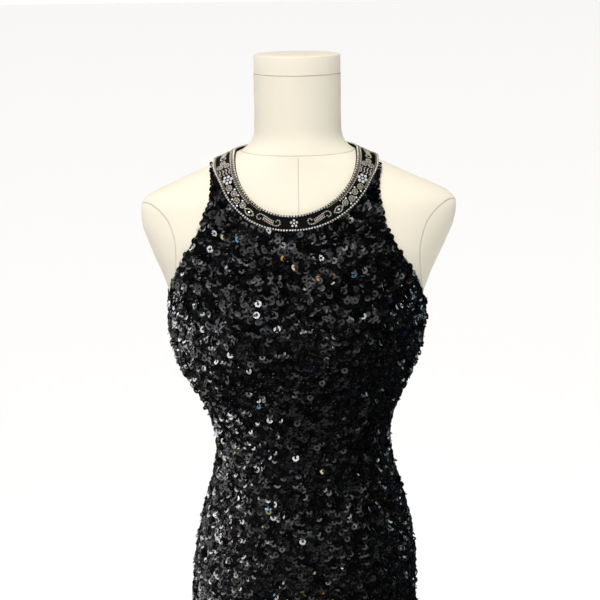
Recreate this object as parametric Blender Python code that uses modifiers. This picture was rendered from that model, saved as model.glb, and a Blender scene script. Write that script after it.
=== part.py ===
"""A halter evening gown on a limbless dress form, which stands on a round base.

The form's figure is one smooth surface through horizontal sections. The form, the gown's panels and the
neckband are all worked out on that surface, each at its own lift above it. +Z is up, the front faces -Y,
and the origin is on the floor under the pole. Lengths are in metres, angles in radians unless named."""

import collections
import math

import bmesh
import bpy
import numpy as np
from mathutils import Euler, Matrix, Vector

# Figure: a row for each section, from the neck's top to the hem. Below FORM_BOTTOM only cloth follows it
Section = collections.namedtuple("Section", "height half_width front back square")
FIGURE = (
    Section(1.5270, 0.0530, 0.0530, 0.0530, 2.0),
    Section(1.4920, 0.0530, 0.0530, 0.0530, 2.0),
    Section(1.4580, 0.0535, 0.0535, 0.0540, 2.0),
    Section(1.4460, 0.0570, 0.0560, 0.0580, 2.0),
    Section(1.4360, 0.0665, 0.0590, 0.0630, 2.0),
    Section(1.4270, 0.0850, 0.0610, 0.0680, 2.0),
    Section(1.4140, 0.1130, 0.0640, 0.0740, 2.0),
    Section(1.3980, 0.1480, 0.0690, 0.0800, 2.0),
    Section(1.3860, 0.1750, 0.0730, 0.0840, 2.0),
    Section(1.3780, 0.1890, 0.0760, 0.0865, 2.0),
    Section(1.3660, 0.1965, 0.0805, 0.0900, 2.0),
    Section(1.3470, 0.1950, 0.0875, 0.0940, 2.0),
    Section(1.3240, 0.1875, 0.0965, 0.0975, 2.0),
    Section(1.3000, 0.1775, 0.1060, 0.0990, 2.0),
    Section(1.2720, 0.1655, 0.1155, 0.0990, 2.1),
    Section(1.2480, 0.1590, 0.1215, 0.0975, 2.2),
    Section(1.2250, 0.1590, 0.1240, 0.0950, 2.3),
    Section(1.2000, 0.1565, 0.1215, 0.0915, 2.3),
    Section(1.1750, 0.1505, 0.1150, 0.0875, 2.2),
    Section(1.1500, 0.1405, 0.1070, 0.0835, 2.1),
    Section(1.1200, 0.1250, 0.0985, 0.0790, 2.1),
    Section(1.0850, 0.1125, 0.0920, 0.0755, 2.1),
    Section(1.0500, 0.1090, 0.0890, 0.0750, 2.1),
    Section(1.0150, 0.1150, 0.0900, 0.0785, 2.1),
    Section(0.9750, 0.1270, 0.0940, 0.0880, 2.1),
    Section(0.9350, 0.1360, 0.0985, 0.1005, 2.1),
    Section(0.8900, 0.1430, 0.1020, 0.1125, 2.1),
    Section(0.8450, 0.1455, 0.1035, 0.1180, 2.1),
    Section(0.8000, 0.1470, 0.1045, 0.1180, 2.1),
    Section(0.6500, 0.1480, 0.1090, 0.1190, 2.0),
    Section(0.4500, 0.1520, 0.1210, 0.1260, 2.0),
    Section(0.2500, 0.1650, 0.1450, 0.1460, 2.0),
    Section(0.1000, 0.1830, 0.1710, 0.1710, 2.0),
    Section(0.0250, 0.1930, 0.1850, 0.1850, 2.0),
)
BUST_HEIGHT, BUST_SPACING, BUST_REACH, BUST_PROUD = 1.222, 0.144, 0.053, 0.010

# The figure's middle stands a little to one side of the pole, as in the photo
Sway = collections.namedtuple("Sway", "height aside")
SWAYS = (
    Sway(1.3700, 0.0000),
    Sway(1.2900, -0.0030),
    Sway(1.1800, -0.0040),
    Sway(1.1200, -0.0010),
    Sway(0.9700, 0.0040),
    Sway(0.8000, 0.0000),
)

# Dress form and stand
FORM_BOTTOM, FORM_BOTTOM_EDGE = 0.800, 0.012
FORM_AROUND, FORM_RING_SPACING = 40, 0.030
CAP_STEPS, POLE_STEPS, BASE_STEPS = 36, 20, 48
CAP_TOP, CAP_RADIUS, CAP_EDGE = 1.5500, 0.0527, 0.0016
ARM_PLATE_CENTRE = Vector((0.150, -0.008, 1.318))
ARM_PLATE_HEIGHT, ARM_PLATE_WIDTH = 0.124, 0.100
ARM_ROD_LENGTH = 0.120
ARM_PLATE_DOWN, ARM_PLATE_FORWARD = math.radians(12), math.radians(16)
POLE_RADIUS, FLANGE_RADIUS, FLANGE_THICK = 0.0125, 0.045, 0.006
BASE_RADIUS, BASE_THICK, BASE_EDGE, BOSS_RADIUS, BOSS_HEIGHT = 0.145, 0.010, 0.003, 0.026, 0.022

# Gown: lifts are distances out from the figure's surface
GAP, BAND_GAP = 0.0003, 0.0006
CLOTH_INSIDE, CLOTH_THICK = 0.0018, 0.0020
UNDERARM, HEM = 1.240, 0.025
BACK_TOP, BACK_SWEEP = 1.120, 1.7
ZIP_END, ZIP_END_STEP = 0.900, 0.007
SHELL_BLEND = 1.020
FRONT_COLUMNS, BACK_COLUMNS = 30, 12
BEND_SHARE, FINER, SEAM_ROWS = 0.10, 12, 6
CHEST_ROWS, TORSO_ROWS, HIP_ROWS, SKIRT_ROWS = 15, 14, 3, 7
ROWS_SPACED_AT = math.radians(30)
SLIP = -0.008

# Armhole: how far left and right the front panel's cut edges are at each height
Armhole = collections.namedtuple("Armhole", "height left right")
ARMHOLE = (
    Armhole(1.4050, -0.1010, 0.0925),
    Armhole(1.3900, -0.1020, 0.0935),
    Armhole(1.3600, -0.1130, 0.1000),
    Armhole(1.3300, -0.1285, 0.1140),
    Armhole(1.3000, -0.1450, 0.1320),
    Armhole(1.2700, -0.1575, 0.1465),
    Armhole(1.2550, -0.1610, 0.1510),
)
SHOULDER_TAB = 0.002

# Neckband: widths by the turn round the neck, from the front at 0 to the nape at 180 degrees
BandWidth = collections.namedtuple("BandWidth", "turn_degrees width")
BAND_WIDTHS = (
    BandWidth(0, 0.019),
    BandWidth(45, 0.022),
    BandWidth(68, 0.023),
    BandWidth(90, 0.030),
    BandWidth(112, 0.028),
    BandWidth(140, 0.025),
    BandWidth(180, 0.024),
)
NECK_EDGE_HEIGHT, NECKLINE_DEPTH, NAPE_RISE, NECK_TILT = 1.4325, 0.0665, 0.001, 0.0014
BAND_INSIDE, BAND_THICK = 0.0008, 0.0026
BAND_STEPS, BAND_ACROSS = 56, 3
NAPE_TURN = math.radians(0.25)
BUTTON_RADIUS, BUTTON_DOME, BUTTON_SPACING = 0.0045, 0.6, 0.012

# Zip down the centre back
ZIP_HALF_WIDTH, ZIP_ROWS = 0.0020, 10
SLIDER_WIDTH, SLIDER_LENGTH, SLIDER_THICK = 0.0062, 0.0110, 0.0024
SLIDER_BELOW_TOP, SLIDER_EDGE = 0.012, 0.0006
BAIL_WIDTH, BAIL_HEIGHT, BAIL_THICK, BAIL_LENGTH = 0.0016, 0.0036, 0.0009, 0.0078
TAB_WIDTH, TAB_LENGTH, TAB_THICK = 0.0052, 0.0260, 0.0012
TAB_WINDOW_WIDTH, TAB_WINDOW_LENGTH, TAB_BAR = 0.0026, 0.0056, 0.0012

# Soft folds in the skirt, a row for each: its place round the hem, half its spread, its depth at the hem
FOLD_GROWTH = 1.4
Fold = collections.namedtuple("Fold", "degrees spread_degrees depth starts_at")
FOLDS = (
    Fold(-160, 16, 0.0085, 0.62),
    Fold(-121, 15, 0.0065, 0.50),
    Fold(-84, 17, 0.0095, 0.68),
    Fold(-46, 14, 0.0075, 0.55),
    Fold(-13, 15, 0.0090, 0.60),
    Fold(24, 14, 0.0070, 0.47),
    Fold(61, 17, 0.0095, 0.64),
    Fold(97, 14, 0.0080, 0.52),
    Fold(133, 16, 0.0085, 0.60),
    Fold(171, 13, 0.0070, 0.54),
)


class Curve:
    """A smooth line through (at, value) points that never swings past them."""

    def __init__(self, at, value):
        order = np.argsort(at)
        self.at, self.value = np.array(at, float)[order], np.array(value, float)[order]
        slope = np.diff(self.value) / np.diff(self.at)
        together = slope[:-1] * slope[1:] > 0
        total = np.where(together, slope[:-1] + slope[1:], 1.0)
        inner = np.where(together, 2 * slope[:-1] * slope[1:] / total, 0.0)
        self.slope = np.concatenate([slope[:1], inner, slope[-1:]])

    def __call__(self, x):
        x = np.clip(x, self.at[0], self.at[-1])
        i = np.clip(np.searchsorted(self.at, x, side="right") - 1, 0, len(self.at) - 2)
        span = self.at[i + 1] - self.at[i]
        t = (x - self.at[i]) / span
        start = self.value[i] * (1 + 2 * t) + span * self.slope[i] * t
        end = self.value[i + 1] * (3 - 2 * t) - span * self.slope[i + 1] * (1 - t)
        return (1 - t) ** 2 * start + t**2 * end


def column(rows, across, along):
    return Curve([getattr(row, across) for row in rows], [getattr(row, along) for row in rows])


half_width_at = column(FIGURE, "height", "half_width")
front_at = column(FIGURE, "height", "front")
back_at = column(FIGURE, "height", "back")
square_at = column(FIGURE, "height", "square")
aside_at = column(SWAYS, "height", "aside")
band_width_at = column(BAND_WIDTHS, "turn_degrees", "width")


def fold_depth(theta, z):
    """How far the skirt's soft folds stand out at an angle and a height."""
    degrees = np.degrees(theta)
    total = np.zeros(np.broadcast(theta, z).shape)
    for fold in FOLDS:
        away = np.abs((degrees - fold.degrees + 180) % 360 - 180) / fold.spread_degrees
        down = np.clip((fold.starts_at - z) / (fold.starts_at - HEM), 0, 1)
        ridge = np.cos(np.clip(away, 0, 1) * math.pi / 2) ** 2
        total = total + fold.depth * down**FOLD_GROWTH * ridge
    return total


def figure(theta, z):
    """The point on the figure at an angle from the front, positive to +X, and a height."""
    theta, z = np.broadcast_arrays(np.asarray(theta, float), np.asarray(z, float))
    side, facing = np.sin(theta), np.cos(theta)
    power = np.where(facing > 0, 2 / square_at(z), 1.0)
    x = half_width_at(z) * np.sign(side) * np.abs(side) ** power
    depth = np.where(facing > 0, front_at(z), back_at(z))
    y = -depth * np.sign(facing) * np.abs(facing) ** power
    across = (np.abs(x) - BUST_SPACING / 2) / BUST_REACH
    up = (z - BUST_HEIGHT) / BUST_REACH
    y = y - BUST_PROUD * np.sqrt(np.clip(facing, 0, 1)) * np.exp(-(across**2) - up**2)
    fold = fold_depth(theta, z)
    return np.stack([x + side * fold + aside_at(z), y - facing * fold, z + 0 * x], axis=-1)


def steps_along(theta, z):
    """The surface's rates of change with the angle and with the height."""
    turn, rise = 1e-3, 1e-4
    around = (figure(theta + turn, z) - figure(theta - turn, z)) / (2 * turn)
    upward = (figure(theta, z + rise) - figure(theta, z - rise)) / (2 * rise)
    return around, upward


def unit(vectors):
    return vectors / np.linalg.norm(vectors, axis=-1, keepdims=True)


def normal(theta, z):
    return unit(np.cross(*steps_along(theta, z)))


def lifted(theta, z, lift):
    return figure(theta, z) + lift * normal(theta, z)


def angle_of(x, z):
    """The angle at which the figure's front passes x."""
    x = x - aside_at(z)
    share = np.clip(np.abs(x) / half_width_at(z), 0, 1)
    return np.sign(x) * np.arcsin(share ** (square_at(z) / 2))


def walk(theta, z, towards, distance, steps=6):
    """Where a walk over the surface ends that starts towards a direction and goes straight on."""
    for _ in range(steps):
        around, upward = steps_along(theta, z)
        aa, au, uu = ((p * q).sum(-1) for p, q in ((around, around), (around, upward), (upward, upward)))
        ta, tu = (towards * around).sum(-1), (towards * upward).sum(-1)
        size = aa * uu - au * au
        turn, rise = (uu * ta - au * tu) / size, (aa * tu - au * ta) / size
        moved = turn[..., None] * around + rise[..., None] * upward
        length = np.linalg.norm(moved, axis=-1)
        theta = theta + turn / length * distance / steps
        z = z + rise / length * distance / steps
        towards = unit(moved)
    return theta, z


def evenly(points, count):
    """The places, as fractions of an index, that divide a line of points into equal lengths."""
    length = np.concatenate([[0], np.cumsum(np.linalg.norm(np.diff(points, axis=0), axis=1))])
    return np.interp(np.linspace(0, length[-1], count), length, np.arange(len(points)))


def bends(theta, z):
    """Points that lie further apart where the surface turns, for shorter steps there."""
    return np.concatenate([figure(theta, z), BEND_SHARE * normal(theta, z)], axis=-1)


def take(values, places):
    return np.interp(places, np.arange(len(values)), values)


def face_outwards(bm):
    bmesh.ops.recalc_face_normals(bm, faces=bm.faces)
    if bm.calc_volume(signed=True) < 0:
        bmesh.ops.reverse_faces(bm, faces=bm.faces)


def new_mesh_object(name, bm, material):
    bmesh.ops.remove_doubles(bm, verts=bm.verts, dist=1e-7)
    face_outwards(bm)
    mesh = bpy.data.meshes.new(name)
    bm.to_mesh(mesh)
    bm.free()
    mesh.shade_smooth()
    mesh.set_sharp_from_angle(angle=math.radians(40))
    mesh.materials.append(material)
    thing = bpy.data.objects.new(name, mesh)
    parts.objects.link(thing)
    return thing


def grid_faces(bm, rows, flip=False):
    for low, high in zip(rows, rows[1:]):
        for a, b, c, d in zip(low, low[1:], high[1:], high):
            bm.faces.new((d, c, b, a) if flip else (a, b, c, d))


def wall(name, inside, outside, material):
    """A closed wall between two like grids of points, as rows of columns."""
    bm = bmesh.new()
    inner, outer = ([[bm.verts.new(p) for p in row] for row in grid] for grid in (inside, outside))
    grid_faces(bm, inner, flip=True)
    grid_faces(bm, outer)
    grid_faces(bm, [inner[0], outer[0]])
    grid_faces(bm, [outer[-1], inner[-1]])
    grid_faces(bm, [[row[0] for row in outer], [row[0] for row in inner]])
    grid_faces(bm, [[row[-1] for row in inner], [row[-1] for row in outer]])
    return new_mesh_object(name, bm, material)


def cloth_wall(name, theta, z, material):
    """A panel's wall over the figure, from grids of angles and heights."""
    inside = lifted(theta, z, CLOTH_INSIDE)
    outside = lifted(theta, z, CLOTH_INSIDE + CLOTH_THICK)
    return wall(name, inside, outside, material)


def loft(name, rings, material):
    """A closed body through rings of points, with flat ends."""
    bm = bmesh.new()
    loops = [[bm.verts.new(p) for p in ring] for ring in rings]
    grid_faces(bm, [loop + loop[:1] for loop in loops])
    bm.faces.new(loops[0][::-1])
    bm.faces.new(loops[-1])
    return new_mesh_object(name, bm, material)


def box(bm, size, centre):
    made = bmesh.ops.create_cube(bm, size=1.0, matrix=Matrix.Translation(centre) @ Matrix.Diagonal((*size, 1)))
    return made["verts"]


def turned(name, profile, steps, material):
    """A body turned round +Z from (radius, height) points that run down its outer side."""
    bm = bmesh.new()
    line = [bm.verts.new((radius, 0, height)) for radius, height in profile]
    for a, b in zip(line, line[1:]):
        bm.edges.new((a, b))
    mesh = bpy.data.meshes.new(name)
    bm.to_mesh(mesh)
    bm.free()
    mesh.materials.append(material)
    thing = bpy.data.objects.new(name, mesh)
    parts.objects.link(thing)
    screw = thing.modifiers.new("Screw", "SCREW")
    screw.steps = screw.render_steps = steps
    screw.use_merge_vertices = True
    screw.merge_threshold = 0.0001
    screw.use_smooth_shade = True
    return thing


def plain_material(name, colour, roughness, metallic=0.0):
    material = bpy.data.materials.new(name)
    material.use_nodes = True
    shader = material.node_tree.nodes["Principled BSDF"]
    shader.inputs["Base Color"].default_value = (*colour, 1)
    shader.inputs["Roughness"].default_value = roughness
    shader.inputs["Metallic"].default_value = metallic
    return material


def combine(thing, other, operation):
    boolean = thing.modifiers.new(operation.title(), "BOOLEAN")
    boolean.operation = operation
    boolean.object = other
    other.hide_render = True
    other.display_type = "WIRE"


def form_rings():
    theta = np.linspace(-math.pi, math.pi, FORM_AROUND, endpoint=False)
    heights = [row.height for row in FIGURE if row.height >= FORM_BOTTOM][::-1]
    between = [(a + b) / 2 for a, b in zip(heights, heights[1:]) if b - a > FORM_RING_SPACING]
    rings = [figure(theta, z) for z in sorted(heights + between)]
    foot = figure(theta, FORM_BOTTOM)
    inwards = unit(foot * (1, 1, 0))
    bottom = foot - FORM_BOTTOM_EDGE * inwards - (0, 0, FORM_BOTTOM_EDGE)
    return [bottom, *rings]


def arm_cutter(name, side, margin, depth):
    """An oval rod through the shoulder's side. Its outer end is well clear of the form."""
    bm = bmesh.new()
    bmesh.ops.create_cone(bm, cap_ends=True, segments=40, radius1=1, radius2=1, depth=1)
    bmesh.ops.translate(bm, verts=bm.verts, vec=(0, 0, 0.5))
    half_width, half_height = ARM_PLATE_WIDTH / 2 - margin, ARM_PLATE_HEIGHT / 2 - margin
    bmesh.ops.scale(bm, verts=bm.verts, vec=(half_width, half_height, ARM_ROD_LENGTH))
    # The rod's length turns to +X, its height stays upright
    length_to_x = Matrix(((0, 0, 1), (1, 0, 0), (0, 1, 0))).to_4x4()
    bmesh.ops.transform(bm, verts=bm.verts, matrix=length_to_x)
    bmesh.ops.translate(bm, verts=bm.verts, vec=(depth, 0, 0))
    tilt = Euler((0, ARM_PLATE_DOWN, -ARM_PLATE_FORWARD)).to_matrix().to_4x4()
    bmesh.ops.transform(bm, verts=bm.verts, matrix=Matrix.Translation(ARM_PLATE_CENTRE) @ tilt)
    bmesh.ops.scale(bm, verts=bm.verts, vec=(side, 1, 1))
    face_outwards(bm)
    mesh = bpy.data.meshes.new(name)
    bm.to_mesh(mesh)
    bm.free()
    rod = bpy.data.objects.new(name, mesh)
    cutters.objects.link(rod)
    return rod


def make_form():
    cover = plain_material("Form cover", (0.86, 0.80, 0.70), 0.75)
    rings = form_rings()
    torso = loft("form_torso", rings, cover)
    for word, side in (("left", -1), ("right", 1)):
        combine(torso, arm_cutter(f"arm_pocket_{word}", side, 0, 0), "DIFFERENCE")
        plate = loft(f"form_arm_plate_{word}", rings, cover)
        combine(plate, arm_cutter(f"arm_plug_{word}", side, GAP, GAP), "INTERSECT")
    top = FIGURE[0].height + GAP
    profile = (
        (0, CAP_TOP),
        (CAP_RADIUS - CAP_EDGE, CAP_TOP),
        (CAP_RADIUS, CAP_TOP - CAP_EDGE),
        (CAP_RADIUS, top + CAP_EDGE / 2),
        (CAP_RADIUS - CAP_EDGE / 2, top),
        (0, top),
    )
    turned("form_neck_cap", profile, CAP_STEPS, cover)


def make_stand():
    steel = plain_material("Stand metal", (0.10, 0.10, 0.11), 0.35, 1.0)
    top = FORM_BOTTOM - FORM_BOTTOM_EDGE - GAP
    under = top - FLANGE_THICK
    profile = ((0, top), (FLANGE_RADIUS, top), (FLANGE_RADIUS, under), (0, under))
    turned("stand_flange", profile, BASE_STEPS, steel)
    top = under - GAP
    foot = BOSS_HEIGHT + GAP
    profile = ((0, top), (POLE_RADIUS, top), (POLE_RADIUS, foot), (0, foot))
    turned("stand_pole", profile, POLE_STEPS, steel)
    profile = (
        (0, BOSS_HEIGHT),
        (BOSS_RADIUS, BOSS_HEIGHT),
        (BOSS_RADIUS, BASE_THICK),
        (BASE_RADIUS - BASE_EDGE, BASE_THICK),
        (BASE_RADIUS, BASE_THICK - BASE_EDGE),
        (BASE_RADIUS, 0),
        (0, 0),
    )
    turned("stand_base", profile, BASE_STEPS, steel)


def neck_edge():
    """The neckband's inner edge, nape to nape: (turn, angle, height), in even steps."""
    turn = np.linspace(-math.pi, math.pi, 2881)
    ahead, behind = np.clip(np.cos(turn), 0, 1), np.clip(-np.cos(turn), 0, 1)
    level = NECK_EDGE_HEIGHT + NECK_TILT * np.sin(turn)
    z = level - NECKLINE_DEPTH * ahead + NAPE_RISE * behind
    x = half_width_at(level) * np.sin(turn) + SLIP * ahead**2
    share = np.clip(np.abs(x) / half_width_at(z), 0, 1)
    theta = np.arcsin(share)
    theta = np.sign(x) * np.where(np.cos(turn) > 0, theta, math.pi - theta)
    theta[0], theta[-1] = -math.pi, math.pi
    return turn, theta, z


def band_grid(steps, widths):
    """Angles and heights of lines that run along the band, at these shares of its width plus a distance."""
    turn, theta, z = neck_edge()
    across = np.cross(np.gradient(figure(theta, z), axis=0), normal(theta, z))
    inside = np.abs(turn) < math.pi - NAPE_TURN
    turn, theta, z, across = turn[inside], theta[inside], z[inside], unit(across[inside])
    places = evenly(figure(theta, z), steps + 1)
    turn, theta, z, *across = (take(values, places) for values in (turn, theta, z, *across.T))
    across = unit(np.stack(across, axis=-1))
    width = band_width_at(np.degrees(np.abs(turn)))
    lines = [walk(theta, z, across, share * width + more) for share, more in widths]
    return np.array([line[0] for line in lines]), np.array([line[1] for line in lines])


def make_neckband():
    black = plain_material("Band cloth", (0.012, 0.012, 0.014), 0.6)
    shares = [(share, 0.0) for share in np.linspace(0, 1, BAND_ACROSS + 1)[::-1]]
    theta, z = band_grid(BAND_STEPS, shares)
    inside, outside = lifted(theta, z, BAND_INSIDE), lifted(theta, z, BAND_INSIDE + BAND_THICK)
    wall("neckband", inside, outside, black)
    return theta, z


def make_nape_buttons(theta, z, material):
    """Two buttons across the band's end, on the left of the nape."""
    middle = lifted(theta[:, 1].mean(), z[:, 1].mean(), BAND_INSIDE + BAND_THICK)
    down = unit(figure(theta[0, 1], z[0, 1]) - figure(theta[-1, 1], z[-1, 1]))
    out = normal(theta[:, 1].mean(), z[:, 1].mean())
    turn = Vector(out).to_track_quat("Z", "Y").to_matrix().to_4x4()
    for word, step in (("upper", -0.5), ("lower", 0.5)):
        bm = bmesh.new()
        bmesh.ops.create_uvsphere(bm, u_segments=12, v_segments=7, radius=BUTTON_RADIUS)
        bmesh.ops.scale(bm, verts=bm.verts, vec=(1, 1, BUTTON_DOME))
        seat = middle + down * step * BUTTON_SPACING + out * (BUTTON_DOME * BUTTON_RADIUS + GAP)
        bmesh.ops.transform(bm, verts=bm.verts, matrix=Matrix.Translation(seat) @ turn)
        new_mesh_object(f"nape_button_{word}", bm, material)


def row_heights():
    """The heights of the panels' rows below the underarm, top to bottom."""
    fine = np.linspace(UNDERARM, ZIP_END, 400)
    torso = take(fine, evenly(bends(ROWS_SPACED_AT, fine), TORSO_ROWS + 1))
    hip = np.linspace(ZIP_END - ZIP_END_STEP, FORM_BOTTOM, HIP_ROWS + 1)
    skirt = np.linspace(FORM_BOTTOM, HEM, SKIRT_ROWS + 1)
    return np.concatenate([torso, hip, skirt[1:]])


def armhole_edge(corner, word, side):
    """The cut edge in the front view, from the shoulder corner to the underarm, in even steps."""
    x = [corner[0], *(getattr(row, word) for row in ARMHOLE), figure(side * math.pi / 2, UNDERARM)[0]]
    z = [corner[1], *(row.height for row in ARMHOLE), UNDERARM]
    across = Curve(z, x)
    fine = np.linspace(corner[1], UNDERARM, 400)
    line = across(fine)
    places = evenly(bends(angle_of(line, fine), fine), CHEST_ROWS + 1)
    return np.stack([take(line, places), take(fine, places)], axis=1)


def chest_patch(top, left, right, bottom):
    """A grid of (x, z) that meets four edges, and turns smoothly from each to the one facing it."""
    fall = ((left + right)[:, 1] / 2)[:, None, None]
    v = (fall - fall[0]) / (fall[-1] - fall[0])
    u = np.linspace(0, 1, len(top))[None, :, None]
    rows = (1 - v) * top[None] + v * bottom[None]
    columns = (1 - u) * left[:, None] + u * right[:, None]
    corners = (1 - v) * ((1 - u) * top[0] + u * top[-1]) + v * ((1 - u) * bottom[0] + u * bottom[-1])
    return rows + columns - corners


def chest_top():
    """The front panel's top edge: along the neckband, and at each end a tab out along the shoulder."""
    lines = band_grid(BAND_STEPS * FINER, [(1.0, BAND_GAP), (1.0, BAND_GAP + SHOULDER_TAB)])
    first = (BAND_STEPS - FRONT_COLUMNS + 2) // 2 * FINER
    return (np.concatenate([line[1, [first]], line[0, first:-first], line[1, [-1 - first]]]) for line in lines)


def make_front(material):
    top_theta, top_z = chest_top()
    top = figure(top_theta, top_z)[:, [0, 2]]
    side = math.pi / 2 - GAP / 2 / front_at(UNDERARM)
    across = np.linspace(-side, side, len(top))
    bottom = figure(across, UNDERARM)[:, [0, 2]]
    patch = chest_patch(top, armhole_edge(top[0], "left", -1), armhole_edge(top[-1], "right", 1), bottom)
    theta, z = angle_of(patch[..., 0], patch[..., 1]), patch[..., 1]
    theta[0], theta[-1] = top_theta, across
    at_seam = np.concatenate([[0], 1 + FINER * np.arange(FRONT_COLUMNS - 1), [len(top) - 1]])
    rows = []
    for number, line in enumerate(zip(theta, z)):
        even = evenly(bends(*line), FRONT_COLUMNS + 1)
        places = at_seam + min(1, number / SEAM_ROWS) * (even - at_seam)
        rows.append([take(values, places) for values in line])
    rows += [[rows[-1][0], np.full(FRONT_COLUMNS + 1, height)] for height in row_heights()[1:]]
    theta, z = (np.array(values)[::-1] for values in zip(*rows))
    cloth_wall("gown_front", theta, z, material)


def back_edge_gap(z):
    """Half the space between the back panels: the zip fills it above ZIP_END."""
    return np.where(z > ZIP_END - ZIP_END_STEP / 2, ZIP_HALF_WIDTH + GAP, GAP / 2)


def make_back(name, side, material):
    heights = row_heights()[::-1, None]
    share = np.linspace(0, 1, BACK_COLUMNS + 1)
    top = BACK_TOP + (UNDERARM - BACK_TOP) * (1 - share) ** BACK_SWEEP
    blend = np.clip((heights - SHELL_BLEND) / (UNDERARM - SHELL_BLEND), 0, 1)
    z = np.where(blend > 0, SHELL_BLEND + blend * (top - SHELL_BLEND), heights)
    seam = math.pi / 2 + GAP / 2 / back_at(UNDERARM)
    centre = math.pi - np.arcsin(back_edge_gap(z[:, -1:]) / half_width_at(z[:, -1:]))
    cloth_wall(name, side * (seam + share * (centre - seam)), z, material)


def make_zip(material, metal):
    """The coil strip between the back panels, its slider at the top and the pull tab that hangs from it."""
    z = np.linspace(ZIP_END, BACK_TOP - GAP, ZIP_ROWS + 1)[:, None]
    half = np.arcsin(ZIP_HALF_WIDTH / half_width_at(z))
    theta = math.pi + half * np.array([-1.0, 1.0])
    z = z + 0 * theta
    wall("zip_coil", lifted(theta, z, CLOTH_INSIDE), lifted(theta, z, CLOTH_INSIDE + CLOTH_THICK), material)
    seat = BACK_TOP - SLIDER_BELOW_TOP
    face = Vector(lifted(math.pi, seat, CLOTH_INSIDE + CLOTH_THICK + GAP))
    out = Vector(normal(math.pi, seat))
    tilt = Matrix.Rotation(math.asin(out.z), 4, "X")
    pin = make_slider(Matrix.Translation(face) @ tilt, metal)
    make_pull_tab(pin, metal)


def make_slider(place, metal):
    """The slider's body with its bail, in its own frame: +Y out of the cloth. Returns the pin's place."""
    bm = bmesh.new()
    box(bm, (SLIDER_WIDTH, SLIDER_THICK, SLIDER_LENGTH), (0, SLIDER_THICK / 2, 0))
    bmesh.ops.bevel(bm, geom=bm.edges[:], offset=SLIDER_EDGE, segments=1, affect="EDGES")
    bmesh.ops.transform(bm, verts=bm.verts, matrix=place)
    body = new_mesh_object("zip_slider", bm, metal)
    bm = bmesh.new()
    reach = SLIDER_THICK + BAIL_HEIGHT
    box(bm, (BAIL_WIDTH, BAIL_THICK, BAIL_LENGTH), (0, reach - BAIL_THICK / 2, 0))
    for end in (-1, 1):
        leg = BAIL_HEIGHT + SLIDER_EDGE
        box(bm, (BAIL_WIDTH, leg, BAIL_THICK), (0, reach - leg / 2, end * (BAIL_LENGTH - BAIL_THICK) / 2))
    bmesh.ops.transform(bm, verts=bm.verts, matrix=place)
    mesh = bpy.data.meshes.new("bail")
    bm.to_mesh(mesh)
    bm.free()
    bail = bpy.data.objects.new("bail", mesh)
    cutters.objects.link(bail)
    combine(body, bail, "UNION")
    body.modifiers[-1].use_self = True
    return place @ Vector((0, SLIDER_THICK + (BAIL_HEIGHT - BAIL_THICK) / 2, 0))


def make_pull_tab(pin, metal):
    """A flat tab that hangs straight down from its bar, which passes under the bail."""
    bm = bmesh.new()
    low = TAB_BAR / 2 - TAB_LENGTH
    box(bm, (TAB_WIDTH, TAB_THICK, TAB_LENGTH), (0, 0, (TAB_BAR / 2 + low) / 2))
    mesh = bpy.data.meshes.new("zip_pull_tab")
    bm.to_mesh(mesh)
    bm.free()
    mesh.materials.append(metal)
    tab = bpy.data.objects.new("zip_pull_tab", mesh)
    tab.location = pin
    parts.objects.link(tab)
    bm = bmesh.new()
    box(bm, (TAB_WINDOW_WIDTH, 3 * TAB_THICK, TAB_WINDOW_LENGTH), (0, 0, -TAB_BAR / 2 - TAB_WINDOW_LENGTH / 2))
    mesh = bpy.data.meshes.new("tab_window")
    bm.to_mesh(mesh)
    bm.free()
    window = bpy.data.objects.new("tab_window", mesh)
    window.location = pin
    cutters.objects.link(window)
    combine(tab, window, "DIFFERENCE")


for old in list(bpy.data.objects):
    bpy.data.objects.remove(old, do_unlink=True)
parts = bpy.data.collections.new("Halter gown on dress form")
cutters = bpy.data.collections.new("Cutters")
bpy.context.scene.collection.children.link(parts)
bpy.context.scene.collection.children.link(cutters)

sequin_cloth = plain_material("Sequin cloth", (0.015, 0.015, 0.018), 0.3)
zip_cloth = plain_material("Zip coil", (0.02, 0.02, 0.02), 0.5)
zip_metal = plain_material("Zip metal", (0.05, 0.05, 0.055), 0.3, 1.0)

make_form()
make_stand()
band_theta, band_z = make_neckband()
make_nape_buttons(band_theta, band_z, sequin_cloth)
make_front(sequin_cloth)
make_back("gown_back_left", -1, sequin_cloth)
make_back("gown_back_right", 1, sequin_cloth)
make_zip(zip_cloth, zip_metal)
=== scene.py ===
"""The looks of the halter gown on its dress form: fine cloth, sequins, beadwork, the form's cover and the stand.

Lengths are in metres and angles in radians unless named. A place on the figure is an angle from the front,
positive to +X, and a height. A place on the neckband is a run along its middle line from the front, positive
to +X, and a distance across, positive towards its outer edge."""

import collections
import math

import bmesh
import bpy
import numpy as np
from mathutils import Euler, Matrix, Vector


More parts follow.
